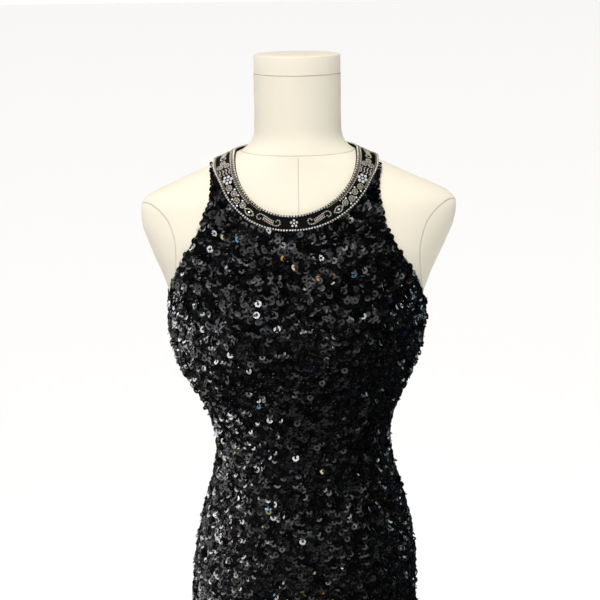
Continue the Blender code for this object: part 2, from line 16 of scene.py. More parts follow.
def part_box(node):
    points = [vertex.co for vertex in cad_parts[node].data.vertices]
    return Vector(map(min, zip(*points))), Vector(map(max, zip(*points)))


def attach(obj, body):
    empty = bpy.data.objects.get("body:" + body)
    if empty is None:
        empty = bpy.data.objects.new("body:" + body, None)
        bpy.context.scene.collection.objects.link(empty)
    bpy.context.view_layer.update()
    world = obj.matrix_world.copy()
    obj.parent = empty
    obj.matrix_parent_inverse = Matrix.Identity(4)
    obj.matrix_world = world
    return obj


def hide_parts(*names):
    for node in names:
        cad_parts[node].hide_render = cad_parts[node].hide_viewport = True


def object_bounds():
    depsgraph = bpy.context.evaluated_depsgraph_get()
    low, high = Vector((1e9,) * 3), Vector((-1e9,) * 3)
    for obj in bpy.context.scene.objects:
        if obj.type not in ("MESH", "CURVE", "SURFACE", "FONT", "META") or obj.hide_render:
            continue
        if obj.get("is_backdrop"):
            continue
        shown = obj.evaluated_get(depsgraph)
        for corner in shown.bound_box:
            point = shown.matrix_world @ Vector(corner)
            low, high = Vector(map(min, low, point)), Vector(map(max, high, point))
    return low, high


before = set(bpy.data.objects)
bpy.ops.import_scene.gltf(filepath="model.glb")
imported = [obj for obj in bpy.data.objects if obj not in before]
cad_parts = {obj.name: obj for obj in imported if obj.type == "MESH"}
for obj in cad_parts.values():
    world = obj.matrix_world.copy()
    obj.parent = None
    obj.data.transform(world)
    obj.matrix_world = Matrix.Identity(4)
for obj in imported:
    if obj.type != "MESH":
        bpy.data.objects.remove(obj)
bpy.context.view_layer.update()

# Figure: a row for each section, from the neck's top to the hem. Below FORM_BOTTOM only cloth follows it
Section = collections.namedtuple("Section", "height half_width front back square")
FIGURE = (
    Section(1.5270, 0.0530, 0.0530, 0.0530, 2.0),
    Section(1.4920, 0.0530, 0.0530, 0.0530, 2.0),
    Section(1.4580, 0.0535, 0.0535, 0.0540, 2.0),
    Section(1.4460, 0.0570, 0.0560, 0.0580, 2.0),
    Section(1.4360, 0.0665, 0.0590, 0.0630, 2.0),
    Section(1.4270, 0.0850, 0.0610, 0.0680, 2.0),
    Section(1.4140, 0.1130, 0.0640, 0.0740, 2.0),
    Section(1.3980, 0.1480, 0.0690, 0.0800, 2.0),
    Section(1.3860, 0.1750, 0.0730, 0.0840, 2.0),
    Section(1.3780, 0.1890, 0.0760, 0.0865, 2.0),
    Section(1.3660, 0.1965, 0.0805, 0.0900, 2.0),
    Section(1.3470, 0.1950, 0.0875, 0.0940, 2.0),
    Section(1.3240, 0.1875, 0.0965, 0.0975, 2.0),
    Section(1.3000, 0.1775, 0.1060, 0.0990, 2.0),
    Section(1.2720, 0.1655, 0.1155, 0.0990, 2.1),
    Section(1.2480, 0.1590, 0.1215, 0.0975, 2.2),
    Section(1.2250, 0.1590, 0.1240, 0.0950, 2.3),
    Section(1.2000, 0.1565, 0.1215, 0.0915, 2.3),
    Section(1.1750, 0.1505, 0.1150, 0.0875, 2.2),
    Section(1.1500, 0.1405, 0.1070, 0.0835, 2.1),
    Section(1.1200, 0.1250, 0.0985, 0.0790, 2.1),
    Section(1.0850, 0.1125, 0.0920, 0.0755, 2.1),
    Section(1.0500, 0.1090, 0.0890, 0.0750, 2.1),
    Section(1.0150, 0.1150, 0.0900, 0.0785, 2.1),
    Section(0.9750, 0.1270, 0.0940, 0.0880, 2.1),
    Section(0.9350, 0.1360, 0.0985, 0.1005, 2.1),
    Section(0.8900, 0.1430, 0.1020, 0.1125, 2.1),
    Section(0.8450, 0.1455, 0.1035, 0.1180, 2.1),
    Section(0.8000, 0.1470, 0.1045, 0.1180, 2.1),
    Section(0.6500, 0.1480, 0.1090, 0.1190, 2.0),
    Section(0.4500, 0.1520, 0.1210, 0.1260, 2.0),
    Section(0.2500, 0.1650, 0.1450, 0.1460, 2.0),
    Section(0.1000, 0.1830, 0.1710, 0.1710, 2.0),
    Section(0.0250, 0.1930, 0.1850, 0.1850, 2.0),
)
BUST_HEIGHT, BUST_SPACING, BUST_REACH, BUST_PROUD = 1.222, 0.144, 0.053, 0.010
Sway = collections.namedtuple("Sway", "height aside")
SWAYS = (
    Sway(1.3700, 0.0000),
    Sway(1.2900, -0.0030),
    Sway(1.1800, -0.0040),
    Sway(1.1200, -0.0010),
    Sway(0.9700, 0.0040),
    Sway(0.8000, 0.0000),
)
FORM_BOTTOM, FORM_BOTTOM_EDGE = 0.800, 0.012
CAP_TOP, CAP_RADIUS, CAP_EDGE = 1.5500, 0.0527, 0.0016
ARM_PLATE_CENTRE = Vector((0.150, -0.008, 1.318))
ARM_PLATE_HEIGHT, ARM_PLATE_WIDTH, ARM_ROD_LENGTH = 0.124, 0.100, 0.120
ARM_PLATE_DOWN, ARM_PLATE_FORWARD = math.radians(12), math.radians(16)
GAP, BAND_GAP = 0.0003, 0.0006
CLOTH_INSIDE, CLOTH_THICK = 0.0018, 0.0020
UNDERARM, HEM = 1.240, 0.025
BACK_TOP, BACK_SWEEP = 1.120, 1.7
ZIP_END, ZIP_END_STEP = 0.900, 0.007
SHELL_BLEND = 1.020
SLIP = -0.008
Armhole = collections.namedtuple("Armhole", "height left right")
ARMHOLE = (
    Armhole(1.4050, -0.1010, 0.0925),
    Armhole(1.3900, -0.1020, 0.0935),
    Armhole(1.3600, -0.1130, 0.1000),
    Armhole(1.3300, -0.1285, 0.1140),
    Armhole(1.3000, -0.1450, 0.1320),
    Armhole(1.2700, -0.1575, 0.1465),
    Armhole(1.2550, -0.1610, 0.1510),
)
BandWidth = collections.namedtuple("BandWidth", "turn_degrees width")
BAND_WIDTHS = (
    BandWidth(0, 0.019),
    BandWidth(45, 0.022),
    BandWidth(68, 0.023),
    BandWidth(90, 0.030),
    BandWidth(112, 0.028),
    BandWidth(140, 0.025),
    BandWidth(180, 0.024),
)
NECK_EDGE_HEIGHT, NECKLINE_DEPTH, NAPE_RISE, NECK_TILT = 1.4325, 0.0665, 0.001, 0.0014
BAND_INSIDE, BAND_THICK = 0.0008, 0.0026
NAPE_TURN = math.radians(0.25)
ZIP_HALF_WIDTH = 0.0020
FOLD_GROWTH = 1.4
Fold = collections.namedtuple("Fold", "degrees spread_degrees depth starts_at")
FOLDS = (
    Fold(-160, 16, 0.0085, 0.62),
    Fold(-121, 15, 0.0065, 0.50),
    Fold(-84, 17, 0.0095, 0.68),
    Fold(-46, 14, 0.0075, 0.55),
    Fold(-13, 15, 0.0090, 0.60),
    Fold(24, 14, 0.0070, 0.47),
    Fold(61, 17, 0.0095, 0.64),
    Fold(97, 14, 0.0080, 0.52),
    Fold(133, 16, 0.0085, 0.60),
    Fold(171, 13, 0.0070, 0.54),
)

# Creases pressed into the worn cloth: from one place to another, with a bow, half a width and a height
Crease = collections.namedtuple("Crease", "from_degrees from_height to_degrees to_height bow half_width height")
CREASES = (
    Crease(-43, 1.340, -52, 1.215, -0.004, 0.0060, 0.0072),
    Crease(48, 1.322, 53, 1.238, 0.003, 0.0055, 0.0028),
    Crease(-84, 1.166, -38, 1.176, 0.004, 0.0045, 0.0016),
    Crease(-86, 1.146, -30, 1.148, -0.003, 0.0050, 0.0020),
    Crease(-82, 1.121, -44, 1.112, 0.003, 0.0045, 0.0015),
    Crease(84, 1.160, 42, 1.168, 0.003, 0.0045, 0.0015),
    Crease(86, 1.136, 34, 1.131, -0.004, 0.0050, 0.0018),
    Crease(83, 1.108, 50, 1.101, 0.002, 0.0040, 0.0012),
    Crease(-62, 1.060, -20, 1.052, 0.003, 0.0055, 0.0010),
    Crease(58, 1.058, 24, 1.066, -0.003, 0.0050, 0.0009),
    Crease(100, 1.120, 148, 1.088, 0.004, 0.0050, 0.0018),
    Crease(97, 1.088, 140, 1.062, -0.003, 0.0055, 0.0015),
    Crease(-98, 1.126, -150, 1.092, -0.004, 0.0050, 0.0017),
    Crease(-95, 1.094, -138, 1.058, 0.003, 0.0050, 0.0016),
    Crease(118, 1.030, 166, 1.020, 0.003, 0.0050, 0.0010),
    Crease(-122, 1.034, -168, 1.012, -0.002, 0.0050, 0.0011),
)
CREASE_SIDES = 1.5

random = np.random.default_rng(7)


class Curve:
    """A smooth line through (at, value) points that never swings past them."""

    def __init__(self, at, value):
        order = np.argsort(at)
        self.at, self.value = np.array(at, float)[order], np.array(value, float)[order]
        slope = np.diff(self.value) / np.diff(self.at)
        together = slope[:-1] * slope[1:] > 0
        total = np.where(together, slope[:-1] + slope[1:], 1.0)
        inner = np.where(together, 2 * slope[:-1] * slope[1:] / total, 0.0)
        self.slope = np.concatenate([slope[:1], inner, slope[-1:]])

    def __call__(self, x):
        x = np.clip(x, self.at[0], self.at[-1])
        i = np.clip(np.searchsorted(self.at, x, side="right") - 1, 0, len(self.at) - 2)
        span = self.at[i + 1] - self.at[i]
        t = (x - self.at[i]) / span
        start = self.value[i] * (1 + 2 * t) + span * self.slope[i] * t
        end = self.value[i + 1] * (3 - 2 * t) - span * self.slope[i + 1] * (1 - t)
        return (1 - t) ** 2 * start + t**2 * end


def column(rows, across, along):
    return Curve([getattr(row, across) for row in rows], [getattr(row, along) for row in rows])


half_width_at = column(FIGURE, "height", "half_width")
front_at = column(FIGURE, "height", "front")
back_at = column(FIGURE, "height", "back")
square_at = column(FIGURE, "height", "square")
aside_at = column(SWAYS, "height", "aside")
band_width_at = column(BAND_WIDTHS, "turn_degrees", "width")


def fold_depth(theta, z):
    """How far the skirt's soft folds stand out at an angle and a height."""
    degrees = np.degrees(theta)
    total = np.zeros(np.broadcast(theta, z).shape)
    for fold in FOLDS:
        away = np.abs((degrees - fold.degrees + 180) % 360 - 180) / fold.spread_degrees
        down = np.clip((fold.starts_at - z) / (fold.starts_at - HEM), 0, 1)
        ridge = np.cos(np.clip(away, 0, 1) * math.pi / 2) ** 2
        total = total + fold.depth * down**FOLD_GROWTH * ridge
    return total


def figure(theta, z):
    """The point on the figure at an angle and a height."""
    theta, z = np.broadcast_arrays(np.asarray(theta, float), np.asarray(z, float))
    side, facing = np.sin(theta), np.cos(theta)
    power = np.where(facing > 0, 2 / square_at(z), 1.0)
    x = half_width_at(z) * np.sign(side) * np.abs(side) ** power
    depth = np.where(facing > 0, front_at(z), back_at(z))
    y = -depth * np.sign(facing) * np.abs(facing) ** power
    across = (np.abs(x) - BUST_SPACING / 2) / BUST_REACH
    up = (z - BUST_HEIGHT) / BUST_REACH
    y = y - BUST_PROUD * np.sqrt(np.clip(facing, 0, 1)) * np.exp(-(across**2) - up**2)
    fold = fold_depth(theta, z)
    return np.stack([x + side * fold + aside_at(z), y - facing * fold, z + 0 * x], axis=-1)


def steps_along(theta, z, surface=figure):
    """A surface's rates of change with the angle and with the height."""
    turn, rise = 1e-3, 1e-4
    around = (surface(theta + turn, z) - surface(theta - turn, z)) / (2 * turn)
    upward = (surface(theta, z + rise) - surface(theta, z - rise)) / (2 * rise)
    return around, upward


def unit(vectors):
    return vectors / np.linalg.norm(vectors, axis=-1, keepdims=True)


def normal(theta, z):
    return unit(np.cross(*steps_along(theta, z)))


def lifted(theta, z, lift):
    return figure(theta, z) + lift * normal(theta, z)


def angle_of(x, z):
    """The angle at which the figure's front passes x."""
    x = x - aside_at(z)
    share = np.clip(np.abs(x) / half_width_at(z), 0, 1)
    return np.sign(x) * np.arcsin(share ** (square_at(z) / 2))


def walk(theta, z, towards, distance, steps=6):
    """Where a walk over the surface ends that starts towards a direction and goes straight on."""
    for _ in range(steps):
        around, upward = steps_along(theta, z)
        aa, au, uu = ((p * q).sum(-1) for p, q in ((around, around), (around, upward), (upward, upward)))
        ta, tu = (towards * around).sum(-1), (towards * upward).sum(-1)
        size = aa * uu - au * au
        turn, rise = (uu * ta - au * tu) / size, (aa * tu - au * ta) / size
        moved = turn[..., None] * around + rise[..., None] * upward
        length = np.linalg.norm(moved, axis=-1)
        theta = theta + turn / length * distance / steps
        z = z + rise / length * distance / steps
        towards = unit(moved)
    return theta, z


def lengths(points):
    return np.concatenate([[0], np.cumsum(np.linalg.norm(np.diff(points, axis=0), axis=1))])


def evenly(points, count):
    """The places, as fractions of an index, that divide a line of points into equal lengths."""
    length = lengths(points)
    return np.interp(np.linspace(0, length[-1], count), length, np.arange(len(points)))


def take(values, places):
    return np.interp(places, np.arange(len(values)), values)


def creased(theta, z):
    """How far the pressed creases stand out from the cloth at an angle and a height."""
    reach = (half_width_at(z) + front_at(z)) / 2
    total = np.zeros(np.broadcast(theta, z).shape)
    for crease in CREASES:
        start, end = math.radians(crease.from_degrees), math.radians(crease.to_degrees)
        along = np.stack([(end - start) * reach, crease.to_height - crease.from_height + 0 * reach], axis=-1)
        at = np.stack([(theta - start) * reach, z - crease.from_height], axis=-1)
        length = np.linalg.norm(along, axis=-1)
        along = along / length[..., None]
        share = (at * along).sum(-1) / length
        across = at[..., 0] * along[..., 1] - at[..., 1] * along[..., 0]
        inside = np.clip(share, 0, 1)
        across = (across - 4 * crease.bow * inside * (1 - inside)) / crease.half_width
        sides = np.exp(-((across - CREASE_SIDES) ** 2)) + np.exp(-((across + CREASE_SIDES) ** 2))
        total = total + crease.height * np.sin(math.pi * inside) * sides
    return total


def worn(theta, z, lift):
    """The point at a lift above the worn cloth's inner face, creases included."""
    return figure(theta, z) + (lift + creased(theta, z))[..., None] * normal(theta, z)


def grid_mesh(name, grids, closed, material):
    """A mesh over one grid of points, or a thin wall between two of them."""
    rows, columns = grids[0].shape[:2]
    index = np.arange(rows * columns).reshape(rows, columns)
    if closed:
        index = np.concatenate([index, index[:, :1]], axis=1)
    square = np.stack([index[:-1, :-1], index[:-1, 1:], index[1:, 1:], index[1:, :-1]], axis=-1).reshape(-1, 4)
    faces = [square]
    if len(grids) == 2:
        other = index + rows * columns
        faces = [square + rows * columns, square[:, ::-1]]
        edges = [(index[0], other[0]), (other[-1], index[-1])]
        if not closed:
            edges += [(other[:, 0], index[:, 0]), (index[:, -1], other[:, -1])]
        faces += [np.stack([a[:-1], a[1:], b[1:], b[:-1]], axis=-1) for a, b in edges]
    return mesh_object(name, np.concatenate([grid.reshape(-1, 3) for grid in grids]), np.concatenate(faces), material)


def mesh_object(name, points, faces, material, smooth=True):
    """An object from points and an array of faces that all have the same number of corners."""
    mesh = bpy.data.meshes.new(name)
    mesh.vertices.add(len(points))
    mesh.vertices.foreach_set("co", np.ascontiguousarray(points, np.float32).ravel())
    mesh.loops.add(faces.size)
    mesh.loops.foreach_set("vertex_index", np.ascontiguousarray(faces, np.int32).ravel())
    mesh.polygons.add(len(faces))
    mesh.polygons.foreach_set("loop_start", np.arange(0, faces.size, faces.shape[1], dtype=np.int32))
    mesh.update(calc_edges=True)
    mesh.polygons.foreach_set("use_smooth", np.full(len(faces), smooth))
    mesh.materials.append(material)
    thing = bpy.data.objects.new(name, mesh)
    bpy.context.scene.collection.objects.link(thing)
    return thing


def paint(thing, name, colours):
    """Stores a colour for each point of a mesh, with a fourth value or 1."""
    layer = thing.data.color_attributes.new(name, "FLOAT_COLOR", "POINT")
    rgba = np.ones((len(colours), 4), np.float32)
    rgba[:, : colours.shape[1]] = colours
    layer.data.foreach_set("color", rgba.ravel())


def turned(name, profile, steps, material):
    """A body turned round +Z from (radius, height) points that run down its outer side."""
    angle = np.linspace(0, 2 * math.pi, steps, endpoint=False)
    profile = np.array(profile, float)
    ring = np.stack([np.cos(angle), np.sin(angle)], axis=-1)
    grid = np.concatenate(
        [profile[:, None, :1] * ring[None], np.repeat(profile[:, None, 1:], steps, axis=1)], axis=-1
    )
    thing = grid_mesh(name, [grid[::-1]], True, material)
    thing.data.set_sharp_from_angle(angle=math.radians(35))
    return thing


# Materials


def new_material(name, colour, roughness, metallic=0.0):
    material = bpy.data.materials.new(name)
    material.use_nodes = True
    shader = material.node_tree.nodes["Principled BSDF"]
    shader.inputs["Base Color"].default_value = (*colour, 1)
    shader.inputs["Roughness"].default_value = roughness
    shader.inputs["Metallic"].default_value = metallic
    return material


def add(material, kind, **values):
    """A node with settings, or with sockets where the value's name is a socket's."""
    node = material.node_tree.nodes.new(kind)
    for key, value in values.items():
        socket = node.inputs.get(key.replace("_", " "))
        if socket is None:
            setattr(node, key, value)
        else:
            socket.default_value = value
    return node


def wire(material, *ends):
    """Joins an output to an input."""
    material.node_tree.links.new(*ends)


def shader_of(material):
    return material.node_tree.nodes["Principled BSDF"]


def bumped(material, height, strength, distance, scale_node=None):
    bump = add(material, "ShaderNodeBump", Strength=strength, Distance=distance)
    wire(material, height, bump.inputs["Height"])
    if scale_node is not None:
        wire(material, scale_node, bump.inputs["Normal"])
    wire(material, bump.outputs["Normal"], shader_of(material).inputs["Normal"])
    return bump.outputs["Normal"]


def object_noise(material, scale, detail=2.0, roughness=0.5):
    """Noise over the object's own coordinates."""
    place = add(material, "ShaderNodeTexCoord")
    noise = add(material, "ShaderNodeTexNoise", Scale=scale, Detail=detail, Roughness=roughness)
    wire(material, place.outputs["Object"], noise.inputs["Vector"])
    return noise.outputs["Fac"]


SEAM_HALF_WIDTH = 0.0008
ARM_SEAM_SHARE = 0.6
NECK_SEAM_HEIGHT = 1.434


def seam_lines(material):
    """1 away from the cover's seams and 0 on them: at the neck's foot, down the middle and round the arm plates."""
    seams = add(material, "ShaderNodeAttribute", attribute_name="seams")
    parts = add(material, "ShaderNodeSeparateColor")
    wire(material, seams.outputs["Color"], parts.inputs[0])
    nearest = add(material, "ShaderNodeMath", operation="MINIMUM")
    for number, channel in enumerate(("Red", "Green", "Blue")):
        away = add(material, "ShaderNodeMath", operation="ABSOLUTE")
        wire(material, parts.outputs[channel], away.inputs[0])
        if number == 2:
            last = add(material, "ShaderNodeMath", operation="MINIMUM")
            wire(material, nearest.outputs[0], last.inputs[0])
            nearest, number = last, 1
        wire(material, away.outputs[0], nearest.inputs[number])
    step = add(material, "ShaderNodeMapRange", interpolation_type="SMOOTHSTEP")
    step.inputs["From Max"].default_value = SEAM_HALF_WIDTH
    wire(material, nearest.outputs[0], step.inputs["Value"])
    return step.outputs["Result"]


def cover_material():
    material = new_material("Form cover", COVER_COLOUR, 0.8)
    shader = shader_of(material)
    shader.inputs["Sheen Weight"].default_value = 0.15
    shader.inputs["Sheen Roughness"].default_value = 0.5
    seam = seam_lines(material)
    mix = add(material, "ShaderNodeMix", data_type="RGBA")
    mix.inputs[6].default_value = (*SEAM_COLOUR, 1)
    mix.inputs[7].default_value = (*COVER_COLOUR, 1)
    wire(material, seam, mix.inputs[0])
    wire(material, mix.outputs[2], shader.inputs["Base Color"])
    knit = bumped(material, object_noise(material, 1400, 3.0), 0.35, 0.0004)
    bumped(material, seam, 0.6, 0.0006, knit)
    return material


COVER_COLOUR = (0.84, 0.775, 0.63)
SEAM_COLOUR = (0.62, 0.55, 0.42)
cover = cover_material()

knit_cloth = new_material("Gown ground cloth", (0.0008, 0.0008, 0.0011), 0.8)
shader_of(knit_cloth).inputs["Specular IOR Level"].default_value = 0.1
bumped(knit_cloth, object_noise(knit_cloth, 1800, 2.0), 0.5, 0.0003)

band_cloth = new_material("Band ground cloth", (0.0015, 0.0013, 0.0012), 0.7)
shader_of(band_cloth).inputs["Specular IOR Level"].default_value = 0.15
bumped(band_cloth, object_noise(band_cloth, 2200, 2.0), 0.4, 0.0003)

sequin = new_material("Black sequins", (0.003, 0.003, 0.003), 0.13)
tint = add(sequin, "ShaderNodeAttribute", attribute_name="tint")
wire(sequin, tint.outputs["Color"], shader_of(sequin).inputs["Base Color"])
wire(sequin, tint.outputs["Alpha"], shader_of(sequin).inputs["Roughness"])
shine = add(sequin, "ShaderNodeMapRange", From_Min=0.01, From_Max=0.03)
wire(sequin, tint.outputs["Fac"], shine.inputs["Value"])
wire(sequin, shine.outputs["Result"], shader_of(sequin).inputs["Metallic"])
shader_of(sequin).inputs["Specular IOR Level"].default_value = 0.5

bead_glass = new_material("Beads", (0.8, 0.76, 0.68), 0.17, 0.55)
bead_tint = add(bead_glass, "ShaderNodeAttribute", attribute_name="tint")
wire(bead_glass, bead_tint.outputs["Color"], shader_of(bead_glass).inputs["Base Color"])

stone_glass = new_material("Stones", (0.8, 0.8, 0.8), 0.10, 0.45)
stone_tint = add(stone_glass, "ShaderNodeAttribute", attribute_name="tint")
wire(stone_glass, stone_tint.outputs["Color"], shader_of(stone_glass).inputs["Base Color"])

stand_metal = new_material("Stand metal", (0.045, 0.045, 0.05), 0.34, 0.6)
stand_grain = object_noise(stand_metal, 260, 3.0)
bumped(stand_metal, stand_grain, 0.12, 0.0003)

satin = new_material("Button satin", (0.01, 0.01, 0.012), 0.38)
shader_of(satin).inputs["Sheen Weight"].default_value = 0.3
bumped(satin, object_noise(satin, 2600, 1.0), 0.2, 0.0002)

coil_cloth = new_material("Zip coil", (0.012, 0.012, 0.013), 0.45)
bumped(coil_cloth, object_noise(coil_cloth, 2400, 1.0), 0.3, 0.0002)

dark_metal = new_material("Zip metal", (0.28, 0.28, 0.29), 0.30, 1.0)
bumped(dark_metal, object_noise(dark_metal, 900, 2.0), 0.1, 0.0001)


# Form: the cover over the torso, the plates in its shoulders and the cap on its neck

FORM_AROUND, FORM_RINGS, CAP_STEPS = 160, 120, 96


def form_loft(name):
    fine = np.linspace(FIGURE[0].height, FORM_BOTTOM, 600)
    heights = take(fine, evenly(figure(math.radians(75), fine), FORM_RINGS))[::-1]
    theta = np.linspace(-math.pi, math.pi, FORM_AROUND, endpoint=False)
    rings = [figure(theta, z) for z in heights]
    inwards = unit(rings[0] * (1, 1, 0))
    for share in (0.35, 0.7, 1.0):
        turn = share * math.pi / 2
        rings.insert(0, figure(theta, FORM_BOTTOM) - FORM_BOTTOM_EDGE * (
            (1 - math.cos(turn)) * inwards + math.sin(turn) * np.array([0, 0, 1])
        ))
    thing = grid_mesh(name, [np.array(rings)], True, cover)
    bm = bmesh.new()
    bm.from_mesh(thing.data)
    bmesh.ops.holes_fill(bm, edges=[edge for edge in bm.edges if edge.is_boundary], sides=0)
    bm.to_mesh(thing.data)
    bm.free()
    return thing


def arm_rod(side, margin, depth):
    """An oval rod through the shoulder's side. Its outer end is well clear of the form."""
    bm = bmesh.new()
    bmesh.ops.create_cone(bm, cap_ends=True, segments=120, radius1=1, radius2=1, depth=1)
    bmesh.ops.translate(bm, verts=bm.verts, vec=(0, 0, 0.5))
    half_width, half_height = ARM_PLATE_WIDTH / 2 - margin, ARM_PLATE_HEIGHT / 2 - margin
    bmesh.ops.scale(bm, verts=bm.verts, vec=(half_width, half_height, ARM_ROD_LENGTH))
    length_to_x = Matrix(((0, 0, 1), (1, 0, 0), (0, 1, 0))).to_4x4()
    bmesh.ops.transform(bm, verts=bm.verts, matrix=length_to_x)
    bmesh.ops.translate(bm, verts=bm.verts, vec=(depth, 0, 0))
    tilt = Euler((0, ARM_PLATE_DOWN, -ARM_PLATE_FORWARD)).to_matrix().to_4x4()
    bmesh.ops.transform(bm, verts=bm.verts, matrix=Matrix.Translation(ARM_PLATE_CENTRE) @ tilt)
    bmesh.ops.scale(bm, verts=bm.verts, vec=(side, 1, 1))
    if side < 0:
        bmesh.ops.reverse_faces(bm, faces=bm.faces)
    mesh = bpy.data.meshes.new("arm rod")
    bm.to_mesh(mesh)
    bm.free()
    rod = bpy.data.objects.new("arm_rod", mesh)
    bpy.context.scene.collection.objects.link(rod)
    return rod


def cut(thing, rods, operation):
    """Cuts a body with rods, which are then thrown away."""
    for rod in rods:
        boolean = thing.modifiers.new(operation, "BOOLEAN")
        boolean.operation = operation
        boolean.object = rod
    graph = bpy.context.evaluated_depsgraph_get()
    made = bpy.data.meshes.new_from_object(thing.evaluated_get(graph))
    thing.modifiers.clear()
    old, thing.data = thing.data, made
    bpy.data.meshes.remove(old)
    for rod in rods:
        bpy.data.objects.remove(rod)
    made.shade_smooth()
    made.set_sharp_from_angle(angle=math.radians(35))
    made.materials.clear()
    made.materials.append(cover)


def mark_seams(thing):
    """Stores how far each point is from the cover's seams, for its material."""
    at = np.empty(len(thing.data.vertices) * 3, np.float32)
    thing.data.vertices.foreach_get("co", at)
    at = at.reshape(-1, 3)
    away = np.full((len(at), 3), 1.0)
    away[:, 0] = at[:, 2] - NECK_SEAM_HEIGHT
    below = np.clip(at[:, 2] - NECK_SEAM_HEIGHT, 0, None)
    away[:, 1] = np.abs(at[:, 0] - aside_at(at[:, 2])) + 50 * below
    away[:, 1] = np.where(below > 0, away[:, 1], at[:, 0] - aside_at(at[:, 2]))
    upright = np.array(Euler((0, ARM_PLATE_DOWN, -ARM_PLATE_FORWARD)).to_matrix())
    for side in (-1, 1):
        along, across, up = ((at * (side, 1, 1) - np.array(ARM_PLATE_CENTRE)) @ upright).T
        oval = np.hypot(across / (ARM_PLATE_WIDTH / 2), up / (ARM_PLATE_HEIGHT / 2))
        away[:, 2] = np.where(along > 0, ARM_SEAM_SHARE * (oval - 1) * ARM_PLATE_HEIGHT / 2, away[:, 2])
    paint(thing, "seams", away)


torso = form_loft("cover_torso")
cut(torso, [arm_rod(side, 0, 0) for side in (-1, 1)], "DIFFERENCE")
mark_seams(torso)
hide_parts("form_torso")
form_pieces = [torso]
for word, side in (("left", -1), ("right", 1)):
    plate = form_loft(f"cover_arm_plate_{word}")
    cut(plate, [arm_rod(side, GAP, GAP)], "INTERSECT")
    mark_seams(plate)
    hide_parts(f"form_arm_plate_{word}")
    form_pieces.append(plate)
cap_foot = FIGURE[0].height + GAP
round_edge = [math.radians(a) for a in (90, 60, 30, 0)]
cap_profile = [(0, CAP_TOP)]
cap_profile += [
    (CAP_RADIUS - CAP_EDGE + CAP_EDGE * math.cos(a), CAP_TOP - CAP_EDGE + CAP_EDGE * math.sin(a)) for a in round_edge
]
cap_profile += [(CAP_RADIUS, cap_foot + CAP_EDGE / 2), (CAP_RADIUS - CAP_EDGE / 2, cap_foot), (0, cap_foot)]
cap = turned("cover_neck_cap", cap_profile, CAP_STEPS, cover)
mark_seams(cap)
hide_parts("form_neck_cap")
form_pieces.append(cap)
for piece in form_pieces:
    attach(piece, "gown_on_form")


# Gown: the ground cloth of each panel, as a thin wall that follows the worn surface

KNIT_INSIDE, KNIT_THICK = 0.0019, 0.0012
ROW_PITCH = 0.0049
PANEL_COLUMNS, BACK_COLUMNS = 90, 46
CLOTH_EVERY = 2
SEAM_ROWS = 18


def neck_edge():
    """The neckband's inner edge, nape to nape: (turn, angle, height), in even steps."""
    turn = np.linspace(-math.pi, math.pi, 2881)
    ahead, behind = np.clip(np.cos(turn), 0, 1), np.clip(-np.cos(turn), 0, 1)
    level = NECK_EDGE_HEIGHT + NECK_TILT * np.sin(turn)
    z = level - NECKLINE_DEPTH * ahead + NAPE_RISE * behind
    x = half_width_at(level) * np.sin(turn) + SLIP * ahead**2
    share = np.clip(np.abs(x) / half_width_at(z), 0, 1)
    theta = np.arcsin(share)
    theta = np.sign(x) * np.where(np.cos(turn) > 0, theta, math.pi - theta)
    theta[0], theta[-1] = -math.pi, math.pi
    return turn, theta, z


def band_grid(steps, widths):
    """Angles and heights of lines that run along the band, at these shares of its width plus a distance."""
    turn, theta, z = neck_edge()
    across = np.cross(np.gradient(figure(theta, z), axis=0), normal(theta, z))
    inside = np.abs(turn) < math.pi - NAPE_TURN
    turn, theta, z, across = turn[inside], theta[inside], z[inside], unit(across[inside])
    places = evenly(figure(theta, z), steps + 1)
    turn, theta, z, *across = (take(values, places) for values in (turn, theta, z, *across.T))
    across = unit(np.stack(across, axis=-1))
    width = band_width_at(np.degrees(np.abs(turn)))
    lines = [walk(theta, z, across, share * width + more) for share, more in widths]
    return np.array([line[0] for line in lines]), np.array([line[1] for line in lines])


def pitch_count(points, pitch):
    return max(2, round(lengths(points)[-1] / pitch))


def armhole_edge(corner, word, side, count):
    """The cut edge in the front view, from the shoulder corner to the underarm, in even steps."""
    x = [corner[0], *(getattr(row, word) for row in ARMHOLE), figure(side * math.pi / 2, UNDERARM)[0]]
    z = [corner[1], *(row.height for row in ARMHOLE), UNDERARM]
    across = Curve(z, x)
    fine = np.linspace(corner[1], UNDERARM, 600)
    line = across(fine)
    places = evenly(figure(angle_of(line, fine), fine), count + 1)
    return np.stack([take(line, places), take(fine, places)], axis=1)


def chest_patch(top, left, right, bottom):
    """A grid of (x, z) that meets four edges, and turns smoothly from each to the one facing it."""
    fall = ((left + right)[:, 1] / 2)[:, None, None]
    v = (fall - fall[0]) / (fall[-1] - fall[0])
    u = np.linspace(0, 1, len(top))[None, :, None]
    rows = (1 - v) * top[None] + v * bottom[None]
    columns = (1 - u) * left[:, None] + u * right[:, None]
    corners = (1 - v) * ((1 - u) * top[0] + u * top[-1]) + v * ((1 - u) * bottom[0] + u * bottom[-1])
    return rows + columns - corners


BAND_FINE = 672
FRONT_FROM = 157


